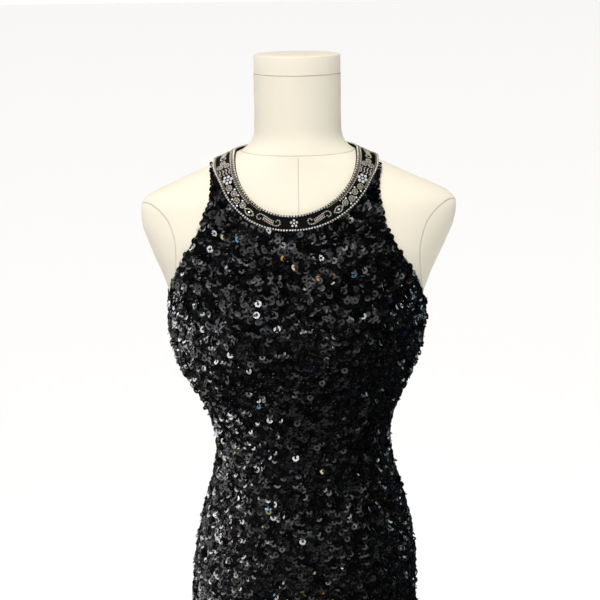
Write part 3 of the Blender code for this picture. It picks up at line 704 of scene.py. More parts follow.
def front_grid():
    """Angles and heights over the front panel, bottom row first."""
    theta, z = band_grid(BAND_FINE, [(1.0, BAND_GAP)])
    top_theta, top_z = theta[0, FRONT_FROM:-FRONT_FROM], z[0, FRONT_FROM:-FRONT_FROM]
    top = figure(top_theta, top_z)[:, [0, 2]]
    side = math.pi / 2 - GAP / 2 / front_at(UNDERARM)
    across = np.linspace(-side, side, len(top))
    bottom = figure(across, UNDERARM)[:, [0, 2]]
    fine = np.linspace(top[0, 1], UNDERARM, 400)
    count = pitch_count(figure(np.full(400, math.radians(-60)), fine), ROW_PITCH)
    edges = [armhole_edge(top[end], word, turn, count) for end, word, turn in ((0, "left", -1), (-1, "right", 1))]
    patch = chest_patch(top, *edges, bottom)
    theta, z = angle_of(patch[..., 0], patch[..., 1]), patch[..., 1]
    theta[0], theta[-1] = top_theta, across
    at_seam = np.linspace(0, len(top) - 1, PANEL_COLUMNS + 1)
    rows = []
    for number, line in enumerate(zip(theta, z)):
        even = evenly(figure(*line), PANEL_COLUMNS + 1)
        places = at_seam + min(1, number / SEAM_ROWS) * (even - at_seam)
        rows.append([take(values, places) for values in line])
    fine = np.linspace(UNDERARM, HEM, 1500)
    line = figure(math.radians(35), fine)
    heights = take(fine, evenly(line, pitch_count(line, ROW_PITCH) + 1))
    rows += [[rows[-1][0], np.full(PANEL_COLUMNS + 1, height)] for height in heights[1:]]
    theta, z = (np.array(values)[::-1] for values in zip(*rows))
    return theta, z


def back_edge_gap(z):
    """Half the space between the back panels: the zip fills it above ZIP_END."""
    return np.where(z > ZIP_END - ZIP_END_STEP / 2, ZIP_HALF_WIDTH + GAP, GAP / 2)


def back_grid(side):
    """Angles and heights over a back panel, bottom row first."""
    fine = np.linspace(HEM, UNDERARM, 1500)
    line = figure(math.radians(145), fine)
    heights = take(fine, evenly(line, pitch_count(line, ROW_PITCH) + 1))[:, None]
    share = np.linspace(0, 1, BACK_COLUMNS + 1)
    top = BACK_TOP + (UNDERARM - BACK_TOP) * (1 - share) ** BACK_SWEEP
    blend = np.clip((heights - SHELL_BLEND) / (UNDERARM - SHELL_BLEND), 0, 1)
    z = np.where(blend > 0, SHELL_BLEND + blend * (top - SHELL_BLEND), heights)
    seam = math.pi / 2 + GAP / 2 / back_at(UNDERARM)
    centre = math.pi - np.arcsin(back_edge_gap(z[:, -1:]) / half_width_at(z[:, -1:]))
    return side * (seam + share * (centre - seam)), z


def every(values, step):
    """Every so many rows, the last one included."""
    picked = list(range(0, len(values) - 1, step)) + [len(values) - 1]
    return values[picked]


def ground_cloth(name, theta, z):
    theta, z = every(theta, CLOTH_EVERY), every(z, CLOTH_EVERY)
    walls = [worn(theta, z, np.full(z.shape, lift)) for lift in (KNIT_INSIDE, KNIT_INSIDE + KNIT_THICK)]
    if theta[0, 0] > theta[0, -1]:
        walls = [grid[:, ::-1] for grid in walls]
    piece = grid_mesh(name, walls, False, knit_cloth)
    piece.data.set_sharp_from_angle(angle=math.radians(50))
    return piece


front_theta, front_z = front_grid()
backs = {word: back_grid(side) for word, side in (("left", -1), ("right", 1))}
panels = {"cloth_front": (front_theta, front_z), **{f"cloth_back_{word}": grid for word, grid in backs.items()}}
cloth = {name: ground_cloth(name, *grid) for name, grid in panels.items()}


# Sequins: cupped rings sewn through their middles, overlapping like loose scales

SEQUIN_RADIUS, SEQUIN_DIMPLE, SEQUIN_HOLE = 0.0041, 0.0016, 0.0010
SEQUIN_CUP, SEQUIN_SINK = 0.00030, 0.00045
SEQUIN_AREA = 0.0000270
SWELL_WAVES = 10
SWELL_TURNS = random.uniform(0, math.pi, (SWELL_WAVES, 2))
SWELL_LENGTHS = random.uniform(0.016, 0.060, (SWELL_WAVES, 2))
SWELL_SHIFTS = random.uniform(0, 2 * math.pi, (SWELL_WAVES, 2))
SEQUIN_LIFT = 0.0020
LOOSE_SHARE, LOOSE_LIFT = 0.13, 0.0013
NEAR_SIDES, FAR_SIDES = 10, 7


def scatter(theta, z, inset_rows):
    """Evenly dense places over a panel: each gap between two rows is filled by its area."""
    at = figure(theta, z)
    found = []
    for row in range(inset_rows, len(theta) - 1 - inset_rows):
        low, high = at[row], at[row + 1]
        run = np.linalg.norm(np.diff((low + high) / 2, axis=0), axis=1)
        rise = np.linalg.norm(high - low, axis=1)
        total = np.concatenate([[0], np.cumsum(run * (rise[1:] + rise[:-1]) / 2)])
        start = (0.25, 0.75)[row % 2]
        count = max(1, int(total[-1] / SEQUIN_AREA))
        steps = (np.arange(count) + start + random.normal(0, 0.13, count)) * total[-1] / count
        across = np.interp(steps, total, np.arange(len(total)))
        across = np.clip(across, 0.25, len(total) - 1.25)
        up = np.clip(random.normal(0.5, 0.14, count), 0.05, 0.95)
        places = [(1 - up) * take(v[row], across) + up * take(v[row + 1], across) for v in (theta, z)]
        found.append(np.stack(places, axis=-1))
    return np.concatenate(found)


def sequin_tints(count):
    """Mostly black, each a little warm, cool or brown, with a few that flash amber, blue or white."""
    grey = random.uniform(0.0003, 0.002, count)[:, None] * np.ones(3)
    hue = random.normal(0, 0.22, (count, 1)) * np.array([1.0, 0.05, -1.0])
    tints = grey * (1 + hue)
    rough = random.normal(0.21, 0.035, (count, 1))
    bright = random.random((count, 1)) < SEQUIN_BRIGHT_SHARE
    rough = np.where(bright, random.uniform(0.08, 0.14, (count, 1)), rough)
    pick = random.random(count)
    for low, high, colour in SEQUIN_FLASHES:
        tints[(pick >= low) & (pick < high)] = colour
    return np.clip(np.concatenate([tints, rough], axis=1), 0, 1)


SEQUIN_BRIGHT_SHARE = 0.06


SEQUIN_FLASHES = (
    (0.000, 0.0018, (0.22, 0.12, 0.04)),
    (0.0018, 0.0034, (0.03, 0.07, 0.12)),
    (0.0034, 0.0052, (0.20, 0.18, 0.09)),
    (0.0052, 0.0130, (0.16, 0.16, 0.17)),
    (0.0130, 0.0600, (0.008, 0.005, 0.004)),
    (0.0600, 0.1200, (0.003, 0.004, 0.009)),
)


def middle_of(theta, z):
    """A place's distance round the figure from the front and its height."""
    return np.stack([theta * (half_width_at(z) + front_at(z)) / 2, z], axis=-1)


def swell(at):
    """Two slow waves over the cloth, so that neighbours lean alike."""
    total = np.zeros((len(at), 2))
    for number in range(SWELL_WAVES):
        for column_number in range(2):
            heading = SWELL_TURNS[number, column_number]
            way = np.array([math.cos(heading), math.sin(heading)]) * 2 * math.pi / SWELL_LENGTHS[number, column_number]
            total[:, column_number] += np.sin(at @ way + SWELL_SHIFTS[number, column_number])
    return total / math.sqrt(SWELL_WAVES / 2)


def sequins(name, places, near):
    """All the sequins at some places, as one mesh of small cupped rings or, from afar, cups."""
    theta, z = places[:, 0], places[:, 1]

    def outer(a, b):
        return worn(a, b, np.full(np.shape(b), SEQUIN_LIFT + KNIT_THICK))

    around, upward = steps_along(theta, z, outer)
    out = unit(np.cross(around, upward))
    down = unit(-upward + (upward * out).sum(-1, keepdims=True) * out)
    right = np.cross(down, out)
    count = len(theta)
    drift = swell(middle_of(theta, z))
    lean = np.radians(13 + 8 * drift[:, 0] + random.normal(0, 10, count))
    roll = np.radians(11 * drift[:, 1] + random.normal(0, 10, count))
    loose = random.random(count) < LOOSE_SHARE
    lean = np.where(loose, np.radians(random.uniform(-25, 70, count)), lean)
    roll = np.where(loose, np.radians(random.uniform(-40, 40, count)), roll)
    # The lower edge stands off, so the face turns upwards
    face = unit(np.cos(lean)[:, None] * out - np.sin(lean)[:, None] * down + np.sin(roll)[:, None] * right)
    middle = outer(theta, z)
    bright = glint_sequins(middle, out) if near else {}
    for number in bright:
        light = LAMP_PLACE if bright[number] == WHITE else PANEL_PLACE
        ways = [unit(np.array(place) - middle[number]) for place in (CAMERA_PLACE, light)]
        face[number] = unit(ways[0] + ways[1])
    first = unit(np.cross(face, right))
    second = np.cross(face, first)
    sides = NEAR_SIDES if near else FAR_SIDES
    angle = 2 * math.pi * (np.arange(sides)[None] / sides + random.random(count)[:, None])
    ring = np.cos(angle)[..., None] * first[:, None] + np.sin(angle)[..., None] * second[:, None]
    radius = SEQUIN_RADIUS * random.uniform(0.94, 1.06, count)[:, None, None]
    cup = SEQUIN_CUP * random.uniform(-1, 0.4, count)
    for number, colour in bright.items():
        cup[number] = math.copysign(WHITE_CUP if colour == WHITE else COLOURED_CUP, cup[number])
    cup = cup[:, None, None] * face[:, None]
    sink = SEQUIN_SINK * face[:, None]
    lift = random.uniform(-0.0005, 0.0008, count) + LOOSE_LIFT * loose
    lift[list(bright)] += GLINT_LIFT
    middle = middle + lift[:, None] * out
    rim = middle[:, None] + radius * ring + cup
    index = np.arange(count)[:, None]
    step = np.arange(sides)[None]
    if near:
        hole = middle[:, None] + SEQUIN_HOLE * ring - sink
        dimple = middle[:, None] + SEQUIN_DIMPLE * ring
        points = np.concatenate([hole, dimple, dimple, rim], axis=1)
        base, following = index * 4 * sides, (step + 1) % sides
        inner = np.stack([base + step, base + following, base + sides + following, base + sides + step], axis=-1)
        faces = np.concatenate([inner, inner + 2 * sides])
    else:
        points = np.concatenate([middle[:, None] - sink, rim], axis=1)
        base = index * (sides + 1)
        faces = np.stack([base + 0 * step, base + 1 + (step + 1) % sides, base + 1 + step], axis=-1)[..., ::-1]
    piece = mesh_object(name, points.reshape(-1, 3), faces.reshape(-1, faces.shape[-1]), sequin)
    tints = sequin_tints(count)
    for number, colour in bright.items():
        tints[number] = (*colour, GLINT_ROUGHNESS)
    paint(piece, "tint", np.repeat(tints, points.shape[1], axis=0))
    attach(piece, "gown_on_form")
    return piece


# Single sequins, picked at random, that are turned so that a light shows in them
CAMERA_PLACE, LAMP_PLACE, PANEL_PLACE = (0, -1.55, 1.6534), (-0.7, -2.2, 2.5), (1.7, -2.5, 3.3)
WHITE, BLUE, AMBER, LEMON = (0.003, 0.003, 0.003), (0.09, 0.21, 0.31), (0.32, 0.19, 0.07), (0.40, 0.39, 0.24)
GLINT_COLOURS = (WHITE, WHITE, WHITE, WHITE, WHITE, WHITE, AMBER, AMBER, BLUE, LEMON)
GLINT_SHARE, GLINT_FACING = 0.006, 0.70
GLINT_LIFT, GLINT_ROUGHNESS, WHITE_CUP, COLOURED_CUP = 0.0007, 0.12, 0.00005, 0.00036
glint_random = np.random.default_rng(3)


def glint_sequins(middle, out):
    """A few sequins that needn't turn far to catch the lamp, each with a colour."""
    ways = [unit(np.array(place) - middle) for place in (CAMERA_PLACE, LAMP_PLACE)]
    facing = (unit(ways[0] + ways[1]) * out).sum(-1) > GLINT_FACING
    picked = np.flatnonzero(facing & (glint_random.random(len(middle)) < GLINT_SHARE))
    colours = glint_random.integers(0, len(GLINT_COLOURS), len(picked))
    return {int(number): GLINT_COLOURS[colour] for number, colour in zip(picked, colours)}


Zone = collections.namedtuple("Zone", "name low high near")
FRONT_ZONES = (
    Zone("sequins_front_chest", 1.230, 2.0, True),
    Zone("sequins_front_waist", 1.030, 1.230, True),
    Zone("sequins_front_hip", 0.840, 1.030, True),
    Zone("sequins_front_skirt", 0.0, 0.840, False),
)
BACK_ZONES = (Zone("upper", 0.840, 2.0, True), Zone("skirt", 0.0, 0.840, False))
front_places = scatter(front_theta, front_z, 1)
sequin_pieces = {"cloth_front": []}
for zone in FRONT_ZONES:
    inside = (front_places[:, 1] >= zone.low) & (front_places[:, 1] < zone.high)
    sequin_pieces["cloth_front"].append(sequins(zone.name, front_places[inside], zone.near))
for word, (theta, z) in backs.items():
    back_places = scatter(theta, z, 1)
    sequin_pieces[f"cloth_back_{word}"] = []
    for zone in BACK_ZONES:
        inside = (back_places[:, 1] >= zone.low) & (back_places[:, 1] < zone.high)
        piece = sequins(f"sequins_back_{word}_{zone.name}", back_places[inside], zone.near)
        sequin_pieces[f"cloth_back_{word}"].append(piece)


# Neckband: the ground cloth, and the beads and stones on it

BAND_STEPS, BAND_ACROSS = 336, 10
band_theta, band_z = band_grid(BAND_STEPS, [(share, 0.0) for share in np.linspace(1, 0, BAND_ACROSS + 1)])
band_walls = [lifted(band_theta, band_z, lift) for lift in (BAND_INSIDE + 0.0002, BAND_INSIDE + BAND_THICK - 0.0002)]
band = grid_mesh("cloth_neckband", band_walls, False, band_cloth)
band.data.set_sharp_from_angle(angle=math.radians(50))

BAND_FACE = BAND_INSIDE + BAND_THICK - 0.0002
middle_line = lifted(band_theta[BAND_ACROSS // 2], band_z[BAND_ACROSS // 2], BAND_FACE)
band_run = lengths(middle_line)
band_run = band_run - np.interp(BAND_STEPS / 2, np.arange(BAND_STEPS + 1), band_run)
BAND_HALF_LENGTH = band_run[-1]
band_half = np.linalg.norm(figure(band_theta[0], band_z[0]) - figure(band_theta[-1], band_z[-1]), axis=-1) / 2


def on_band(run, across):
    """The angle and height of places on the band, and half its width there."""
    along = np.interp(run, band_run, np.arange(BAND_STEPS + 1))
    half = take(band_half, along)
    rows = np.clip((1 - across / half) / 2, 0.002, 0.998) * BAND_ACROSS
    low = np.clip(rows.astype(int), 0, BAND_ACROSS - 1)
    left = np.clip(along.astype(int), 0, BAND_STEPS - 1)
    u, v = along - left, rows - low
    found = []
    for grid in (band_theta, band_z):
        first = (1 - u) * grid[low, left] + u * grid[low, left + 1]
        second = (1 - u) * grid[low + 1, left] + u * grid[low + 1, left + 1]
        found.append((1 - v) * first + v * second)
    return found


CHAMPAGNE, SILVER, TAN, PEARL = (0.80, 0.71, 0.56), (0.64, 0.59, 0.51), (0.40, 0.32, 0.21), (0.90, 0.87, 0.80)
OLIVE, PEWTER, CRYSTAL = (0.34, 0.31, 0.18), (0.36, 0.34, 0.30), (0.95, 0.96, 1.0)
BEAD, SMALL_BEAD, PITCH, SMALL_PITCH = 0.00120, 0.00100, 0.0026, 0.0021

Bead = collections.namedtuple("Bead", "run across radius colour")
Stone = collections.namedtuple("Stone", "run across long wide colour")
beads, stones = [], []


def smooth_path(points, pitch):
    """Evenly spaced places along a smooth curve through points in millimetres."""
    points = np.array(points, float) / 1000
    padded = np.concatenate([[2 * points[0] - points[1]], points, [2 * points[-1] - points[-2]]])
    t = np.linspace(0, 1, 12, endpoint=False)[:, None]
    line = []
    for a, b, c, d in zip(padded, padded[1:], padded[2:], padded[3:]):
        line.append(b + t * (c - a) / 2 + t**2 * (a - 2.5 * b + 2 * c - d / 2) + t**3 * (1.5 * (b - c) + (d - a) / 2))
    line = np.concatenate([*line, points[-1:]])
    count = max(2, round(lengths(line)[-1] / pitch) + 1)
    places = evenly(line, count)
    return np.stack([take(values, places) for values in line.T], axis=-1)


def bead_line(points, colour=CHAMPAGNE, radius=BEAD, pitch=PITCH):
    for run, across in smooth_path(points, pitch):
        beads.append(Bead(run, across, radius, colour))


def bead_ring(run, across, reach, colour=CHAMPAGNE, radius=BEAD, pitch=PITCH):
    """A closed ring of beads, sizes in millimetres."""
    count = max(5, round(2 * math.pi * reach / (pitch * 1000)))
    for angle in np.linspace(0, 2 * math.pi, count, endpoint=False):
        place = np.array([run + reach * math.sin(angle), across - reach * math.cos(angle)]) / 1000
        beads.append(Bead(*place, radius, colour))


def stone(run, across, long, wide=None, colour=PEWTER):
    stones.append(Stone(run / 1000, across / 1000, long / 1000, (wide or long) / 1000, colour))


def ringed_stone(run, across, reach, size, colour=PEWTER):
    stone(run, across, size, colour=colour)
    bead_ring(run, across, reach, SILVER, SMALL_BEAD, SMALL_PITCH)


# The band's figures, in millimetres: ordinary curls, leaves, flowers and ringed stones of plain sizes
STEM_START, STEM_LONG, STEM_HIGH, ROW_STEP, CURL_CLEAR = 20, 22, 1.8, 2.2, 5
CURL_REACH, CURL_END, CURL_TURN = 4.5, 1.6, 250
LEAF_RUN, LEAF_LONG, LEAF_WIDE = 56, 6, 3.4
RING_REACH, RING_STONE, RING_STEP, RING_COUNT, ZIGZAG = 3.2, 2.0, 9, 4, 1.1
GAP_STONE, GAP_ACROSS = 1.2, 4.4
BAR_LONG, BAR_HIGH, BAR_STEP, BARS = 8, 0.9, 4, 4
FREE_MIDDLE, SHOULDER_MIDDLE = 1.9, 1.0
JEWELS_AT, CRYSTALS_AT, BARS_AT, ROSETTES_AT, REPEAT, LAST_BARS_AT = 67, 105, 113, 130, 126, 264


def small_line(points, colour=SILVER):
    bead_line(points, colour, SMALL_BEAD, SMALL_PITCH)


def curl(run, across, turned):
    """A spiral of beads that turns inwards from its outer end."""
    share = np.linspace(0, 1, 25)
    turn = np.radians(turned + share * CURL_TURN)
    reach = CURL_REACH + share * (CURL_END - CURL_REACH)
    small_line(np.stack([run + reach * np.sin(turn), across - reach * np.cos(turn)], axis=-1))


def stem_row(start, row, first, last, colour):
    """One row of a stem that sways across the band, between two runs from the stem's start."""
    run = np.linspace(first, last, 13)
    across = row + STEM_HIGH * np.cos(math.pi * run / STEM_LONG)
    small_line(np.stack([start + run, across], axis=-1), colour)


def leaf(run, across):
    """A pointed leaf of two bowed sides, with a crystal in it."""
    share = np.linspace(-1, 1, 13)
    for side in (-1, 1):
        small_line(np.stack([run + LEAF_LONG * share, across + side * LEAF_WIDE * (1 - share**2)], axis=-1), CHAMPAGNE)
    stone(run, across, 1.4, colour=CRYSTAL)


def scroll(start):
    """A stem of three rows with a curl at each end, and a leaf beyond it."""
    stem, far, edge = start + STEM_START, STEM_LONG - CURL_CLEAR, ROW_STEP + STEM_HIGH
    stem_row(stem, ROW_STEP, 0, far, SILVER)
    stem_row(stem, 0, CURL_CLEAR, far, CHAMPAGNE)
    stem_row(stem, -ROW_STEP, CURL_CLEAR, STEM_LONG, SILVER)
    curl(stem, edge - CURL_REACH, 180)
    curl(stem + STEM_LONG, CURL_REACH - edge, 0)
    leaf(start + LEAF_RUN, FREE_MIDDLE)


def flower(run, across, petals, reach, size, colour):
    """Round stones in a ring about a crystal."""
    stone(run, across, 0.8 * size, colour=CRYSTAL)
    for turn in np.linspace(0, 2 * math.pi, petals, endpoint=False):
        stone(run + reach * math.sin(turn), across - reach * math.cos(turn), size, colour=colour)


def jewels(start):
    """Ringed stones of pewter and olive in a zigzag, with small stones in the gaps."""
    for number in range(RING_COUNT):
        run, side = start + RING_STEP * number, 1 if number % 2 else -1
        ringed_stone(run, FREE_MIDDLE + side * ZIGZAG, RING_REACH, RING_STONE, OLIVE if number % 2 else PEWTER)
        for way in (-1, 1):
            if number < RING_COUNT - 1:
                stone(run + RING_STEP / 2, FREE_MIDDLE + way * GAP_ACROSS, GAP_STONE, colour=CRYSTAL)


def bars(start):
    """Wavy bars of beads side by side, along the band."""
    share = np.linspace(0, 1, 9)
    for number in range(BARS):
        across = SHOULDER_MIDDLE + BAR_STEP * (number - (BARS - 1) / 2)
        sway = BAR_HIGH * np.sin(2 * math.pi * share)
        small_line(np.stack([start + BAR_LONG * share, across + sway], axis=-1))


def rosettes(start):
    """Three ringed stones in a triangle."""
    for turn in (0, 120, 240):
        run, across = 5 * math.sin(math.radians(turn + 90)), 5 * math.cos(math.radians(turn + 90))
        ringed_stone(start + run, SHOULDER_MIDDLE + across, RING_REACH, RING_STONE)


def chart():
    """The band's design: a flower in front, then the same figures out to both sides and round to the nape."""
    flower(0, 0, 5, 3.6, 1.6, SILVER)
    first, last = len(beads), len(stones)
    for start in (0, REPEAT):
        scroll(start)
        jewels(start + JEWELS_AT)
        flower(start + CRYSTALS_AT, SHOULDER_MIDDLE, 6, 4.6, 2.0, CRYSTAL)
        bars(start + BARS_AT)
        rosettes(start + ROSETTES_AT)
    bars(LAST_BARS_AT)
    for group, seen in ((beads, first), (stones, last)):
        group.extend([item._replace(run=-item.run) for item in group[seen:]])
    ringed_stone(277.0, 0.0, 3.2, 1.8)


def edge_row(inset, colour, radius, nearest=0.0, inner=False, pitch=PITCH):
    """A row of beads along an edge of the band, from a run outwards on both sides."""
    fine = np.linspace(-BAND_HALF_LENGTH + 0.002, BAND_HALF_LENGTH - 0.002, 3000)
    half = np.interp(fine, band_run, band_half)
    across = (inset - half) if inner else (half - inset)
    at = lifted(*on_band(fine, across), BAND_FACE)
    places = evenly(at, round(lengths(at)[-1] / pitch))
    for run, offset in zip(take(fine, places), take(across, places)):
        if abs(run) >= nearest:
            beads.append(Bead(run, offset, radius, colour))


chart()
edge_row(0.0013, PEARL, 0.00135, pitch=0.0033)
edge_row(0.0036, TAN, 0.00095, 0.094, pitch=0.0021)
edge_row(0.0012, PEARL, 0.00125, pitch=0.0034, inner=True)
edge_row(0.0034, OLIVE, 0.00095, 0.044, pitch=0.0021, inner=True)
edge_row(0.0054, SILVER, 0.00110, 0.062, pitch=0.0028, inner=True)


def ball():
    """A low ball of 8 sides and 5 levels, as points and triangles."""
    bm = bmesh.new()
    bmesh.ops.create_uvsphere(bm, u_segments=8, v_segments=5, radius=1)
    bmesh.ops.triangulate(bm, faces=bm.faces)
    points = np.array([v.co for v in bm.verts])
    faces = np.array([[v.index for v in f.verts] for f in bm.faces])
    bm.free()
    return points, faces


GEM_SIDES = 8
GEM_RINGS = ((0.55, 0.62, 0.0), (0.92, 0.30, 0.5), (1.0, 0.0, 0.0))


def gem():
    """A round cut stone: a flat table, a sloping crown and a girdle, as points and triangles."""
    points = [(0, 0, GEM_RINGS[0][1])]
    for radius, height, shift in GEM_RINGS:
        angles = 2 * math.pi * (np.arange(GEM_SIDES) + shift) / GEM_SIDES
        points += [(radius * math.cos(angle), radius * math.sin(angle), height) for angle in angles]
    faces = []
    for s in range(GEM_SIDES):
        t = (s + 1) % GEM_SIDES
        table, crown, girdle = (1 + ring * GEM_SIDES for ring in range(3))
        faces += [(0, table + s, table + t), (table + s, crown + s, table + t), (crown + s, crown + t, table + t)]
        faces += [(crown + s, girdle + s, girdle + t), (crown + s, girdle + t, crown + t)]
    return np.array(points, float), np.array(faces)


def place_copies(name, shape, theta, z, lift, sizes, spins, tints, material, smooth):
    """One mesh of many copies of a shape, each set on the band's face."""
    points, faces = shape
    out = normal(theta, z)
    at = figure(theta, z) + lift[:, None] * out
    around = unit(steps_along(theta, z)[0])
    up = np.cross(out, around)
    first = np.cos(spins)[:, None] * around + np.sin(spins)[:, None] * up
    second = np.cross(out, first)
    axes = np.stack([first * sizes[:, :1], second * sizes[:, 1:2], out * sizes[:, 2:]], axis=1)
    made = at[:, None] + np.einsum("pk,nkc->npc", points, axes)
    shifted = faces[None] + np.arange(len(at))[:, None, None] * len(points)
    piece = mesh_object(name, made.reshape(-1, 3), shifted.reshape(-1, 3), material, smooth)
    paint(piece, "tint", np.repeat(tints, len(points), axis=0))
    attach(piece, "gown_on_form")
    return piece


def make_beads():
    run, across, radius = (np.array([getattr(b, key) for b in beads]) for key in ("run", "across", "radius"))
    inside = np.abs(run) < BAND_HALF_LENGTH - 0.0015
    run, across, radius = run[inside], across[inside], radius[inside]
    colours = np.array([b.colour for b in beads])[inside]
    theta, z = on_band(run, across)
    tints = np.clip(colours * random.normal(1, 0.10, (len(run), 1)) * random.normal(1, 0.02, (len(run), 3)), 0, 1)
    sizes = radius[:, None] * np.array([1.0, 1.0, 0.9]) * random.uniform(0.93, 1.05, (len(run), 1))
    lift = BAND_FACE + 0.75 * radius
    spins = random.uniform(0, math.pi, len(run))
    return place_copies("band_beads", ball(), theta, z, lift, sizes, spins, tints, bead_glass, True)


def make_stones():
    run, across, long, wide = (np.array([getattr(s, key) for s in stones]) for key in ("run", "across", "long", "wide"))
    theta, z = on_band(run, across)
    tints = np.array([s.colour for s in stones]) * random.uniform(0.85, 1.1, (len(run), 1))
    sizes = np.stack([long, wide, wide], axis=-1)
    spins = np.where(long > wide, math.radians(35) * np.sign(run), random.uniform(0, math.pi, len(run)))
    lift = np.full(len(run), BAND_FACE + 0.0002)
    return place_copies("band_stones", gem(), theta, z, lift, sizes, spins, np.clip(tints, 0, 1), stone_glass, False)


trims = [make_beads(), make_stones()]


# Nape: thread loops from the band's right end round the buttons on its left

LOOP_RADIUS, LOOP_REACH, LOOP_TAIL = 0.00045, 0.0049, 0.0085


def tube(name, line, radius, material, sides=8):
    """A round tube along a line of points, with closed ends."""
    line = np.array(line)
    along = unit(np.gradient(line, axis=0))
    side = unit(np.cross(along, np.array([0.0, 1.0, 0.2])))
    other = np.cross(along, side)
    angle = np.linspace(0, 2 * math.pi, sides, endpoint=False)
    grow = np.concatenate([[0.01], np.ones(len(line)), [0.01]])[:, None, None] * radius
    line, side, other = (np.concatenate([v[:1], v, v[-1:]]) for v in (line, side, other))
    ring = np.cos(angle)[None, :, None] * side[:, None] + np.sin(angle)[None, :, None] * other[:, None]
    return grid_mesh(name, [line[:, None] + grow * ring], True, material)


for word in ("upper", "lower"):
    low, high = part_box(f"nape_button_{word}")
    middle = np.array((low + high) / 2)
    theta_nape, z_nape = math.pi, middle[2]
    out = normal(theta_nape, z_nape)
    along = np.array([-1.0, 0.0, 0.0])
    up = unit(np.cross(out, along))
    seat = middle - 0.0016 * out
    turns = np.radians(np.linspace(-62, 62, 15))
    arc = [seat + LOOP_REACH * (math.cos(t) * along + math.sin(t) * up) for t in turns * 2.0]
    ends = [seat - LOOP_TAIL * along + sign * 0.0022 * up for sign in (-1, 1)]
    loop = tube(f"nape_loop_{word}", [ends[0], *arc, ends[1]], LOOP_RADIUS, satin)
    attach(loop, "gown_on_form")
    trims.append(loop)


# Zip: the coil's teeth on its strip

TOOTH_PITCH, TOOTH_LONG, TOOTH_WIDE, TOOTH_HIGH = 0.0014, 0.0034, 0.0007, 0.0008
tooth_z = np.arange(ZIP_END + 0.001, BACK_TOP - 0.020, TOOTH_PITCH)
corners = np.array([[x, y, w] for x in (-1, 1) for y in (-1, 1) for w in (-1, 1)], float)
box_faces = np.array([(0, 1, 3, 2), (4, 6, 7, 5), (0, 4, 5, 1), (2, 3, 7, 6), (0, 2, 6, 4), (1, 5, 7, 3)])
tooth_theta = np.full(len(tooth_z), math.pi)
tooth_out = normal(tooth_theta, tooth_z)
tooth_up = unit(steps_along(tooth_theta, tooth_z)[1])
tooth_side = np.cross(tooth_up, tooth_out)
axes = np.stack([tooth_side * TOOTH_LONG, tooth_up * TOOTH_WIDE, tooth_out * TOOTH_HIGH], axis=1) / 2
tooth_at = lifted(tooth_theta, tooth_z, CLOTH_INSIDE + CLOTH_THICK)
tooth_points = tooth_at[:, None] + np.einsum("pk,nkc->npc", corners, axes)
tooth_faces = box_faces[None] + np.arange(len(tooth_z))[:, None, None] * len(corners)
teeth = mesh_object("zip_teeth", tooth_points.reshape(-1, 3), tooth_faces.reshape(-1, 4), coil_cloth, False)
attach(teeth, "gown_on_form")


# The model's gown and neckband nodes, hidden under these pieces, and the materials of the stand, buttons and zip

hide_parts("gown_front")
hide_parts("gown_back_left")
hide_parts("gown_back_right")
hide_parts("neckband")
for piece in [*cloth.values(), band]:
    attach(piece, "gown_on_form")

for name, material in (
    ("stand_pole", stand_metal),
    ("stand_flange", stand_metal),
    ("stand_base", stand_metal),
    ("nape_button_upper", satin),
    ("nape_button_lower", satin),
    ("zip_coil", coil_cloth),
    ("zip_slider", dark_metal),
    ("zip_pull_tab", dark_metal),
):
    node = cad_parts[name]
    node.data.materials.clear()
    node.data.materials.append(material)


# Studio: a pale floor, soft light from the front left, and the camera at the photo's angle

scene = bpy.context.scene
scene.view_settings.view_transform = "Standard"

floor_paint = new_material("Studio floor", (0.96, 0.96, 0.96), 0.8)
reach = 60.0
floor = mesh_object(
    "studio_floor",
    np.array([(-reach, -reach, 0), (reach, -reach, 0), (reach, reach, 0), (-reach, reach, 0)], float),
    np.array([[0, 1, 2, 3]]),
    floor_paint,
)
floor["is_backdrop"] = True

world = bpy.data.worlds.new("Studio")
scene.world = world
world.use_nodes = True
nodes, links = world.node_tree.nodes, world.node_tree.links
backdrop, ambient = nodes["Background"], nodes.new("ShaderNodeBackground")
backdrop.inputs["Color"].default_value = (1, 1, 1, 1)
backdrop.inputs["Strength"].default_value = 1.0
ambient.inputs["Color"].default_value = (0.92, 0.96, 1.0, 1)
ambient.inputs["Strength"].default_value = 0.03
path, mix = nodes.new("ShaderNodeLightPath"), nodes.new("ShaderNodeMixShader")
links.new(path.outputs["Is Camera Ray"], mix.inputs["Fac"])
links.new(ambient.outputs["Background"], mix.inputs[1])
links.new(backdrop.outputs["Background"], mix.inputs[2])
links.new(mix.outputs["Shader"], nodes["World Output"].inputs["Surface"])


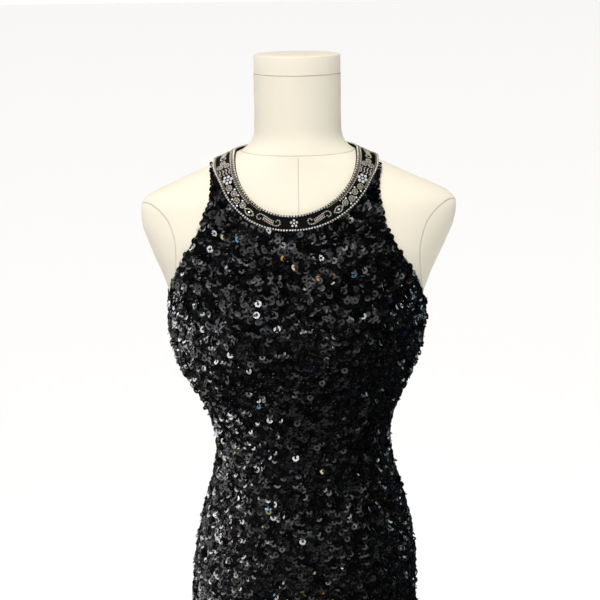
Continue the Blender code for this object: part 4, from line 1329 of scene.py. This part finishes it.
def area_light(name, place, target, size, power, colour):
    data = bpy.data.lights.new(name, "AREA")
    data.shape = "RECTANGLE"
    data.size, data.size_y = size
    data.energy = power
    data.color = colour
    light = bpy.data.objects.new(name, data)
    light.location = place
    light.rotation_euler = (Vector(target) - Vector(place)).to_track_quat("-Z", "Y").to_euler()
    scene.collection.objects.link(light)
    return light


def sun_light(name, place, power, spread_degrees, colour):
    data = bpy.data.lights.new(name, "SUN")
    data.energy = power
    data.angle = math.radians(spread_degrees)
    data.color = colour
    light = bpy.data.objects.new(name, data)
    light.rotation_euler = (-Vector(place)).to_track_quat("-Z", "Y").to_euler()
    scene.collection.objects.link(light)
    return light


# The sun is a broad fill without gloss: only the panels and the lamp show in the sequins
fill = sun_light("soft_sun", (-0.25, -0.95, 2.70), 3.5, 20, (1.0, 0.99, 0.97))
fill.visible_glossy = False
cool = sun_light("cool_fill", (0.3, -1.0, 0.0), 0.80, 30, (0.82, 0.84, 1.0))
cool.visible_glossy = False
floor.visible_glossy = False
area_light("front_panel", (-1.25, -1.75, 2.75), (0, 0, 1.15), (1.1, 1.1), 7.5, (1.0, 1.0, 1.0))
area_light("rim_softbox", (2.0, 0.9, 1.4), (0, 0, 1.15), (0.10, 1.2), 5, (0.75, 0.90, 1.0))
for name, place, size, power in (
    ("wide_panel", (-0.1, -2.5, 3.3), (3.8, 2.2), 36),
    ("low_panel", (0.2, -2.3, 0.45), (2.8, 0.9), 3.4),
    ("side_panel", (-2.3, 0.1, 1.10), (1.8, 2.2), 18),
    ("side_strip", (-2.2, -0.5, 0.70), (1.10, 0.50), 26),
    ("edge_panel", (-2.0, 1.2, 1.80), (1.1, 1.0), 34),
    ("sparkle_lamp", LAMP_PLACE, (0.18, 0.18), 4),
):
    light = area_light(name, place, (0, 0, 1.15), size, power, (1.0, 1.0, 1.0))
    light.visible_diffuse = False

camera_data = bpy.data.cameras.new("Camera")
camera_data.lens = 75.6
camera_data.sensor_width = 36.0
camera_data.clip_end = 200
camera = bpy.data.objects.new("Camera", camera_data)
camera.location = CAMERA_PLACE
tilt = Matrix.Rotation(math.radians(90 - 14.881), 4, "X") @ Matrix.Rotation(math.radians(-0.75), 4, "Z")
camera.rotation_euler = tilt.to_euler()
scene.collection.objects.link(camera)
scene.camera = camera

low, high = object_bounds()
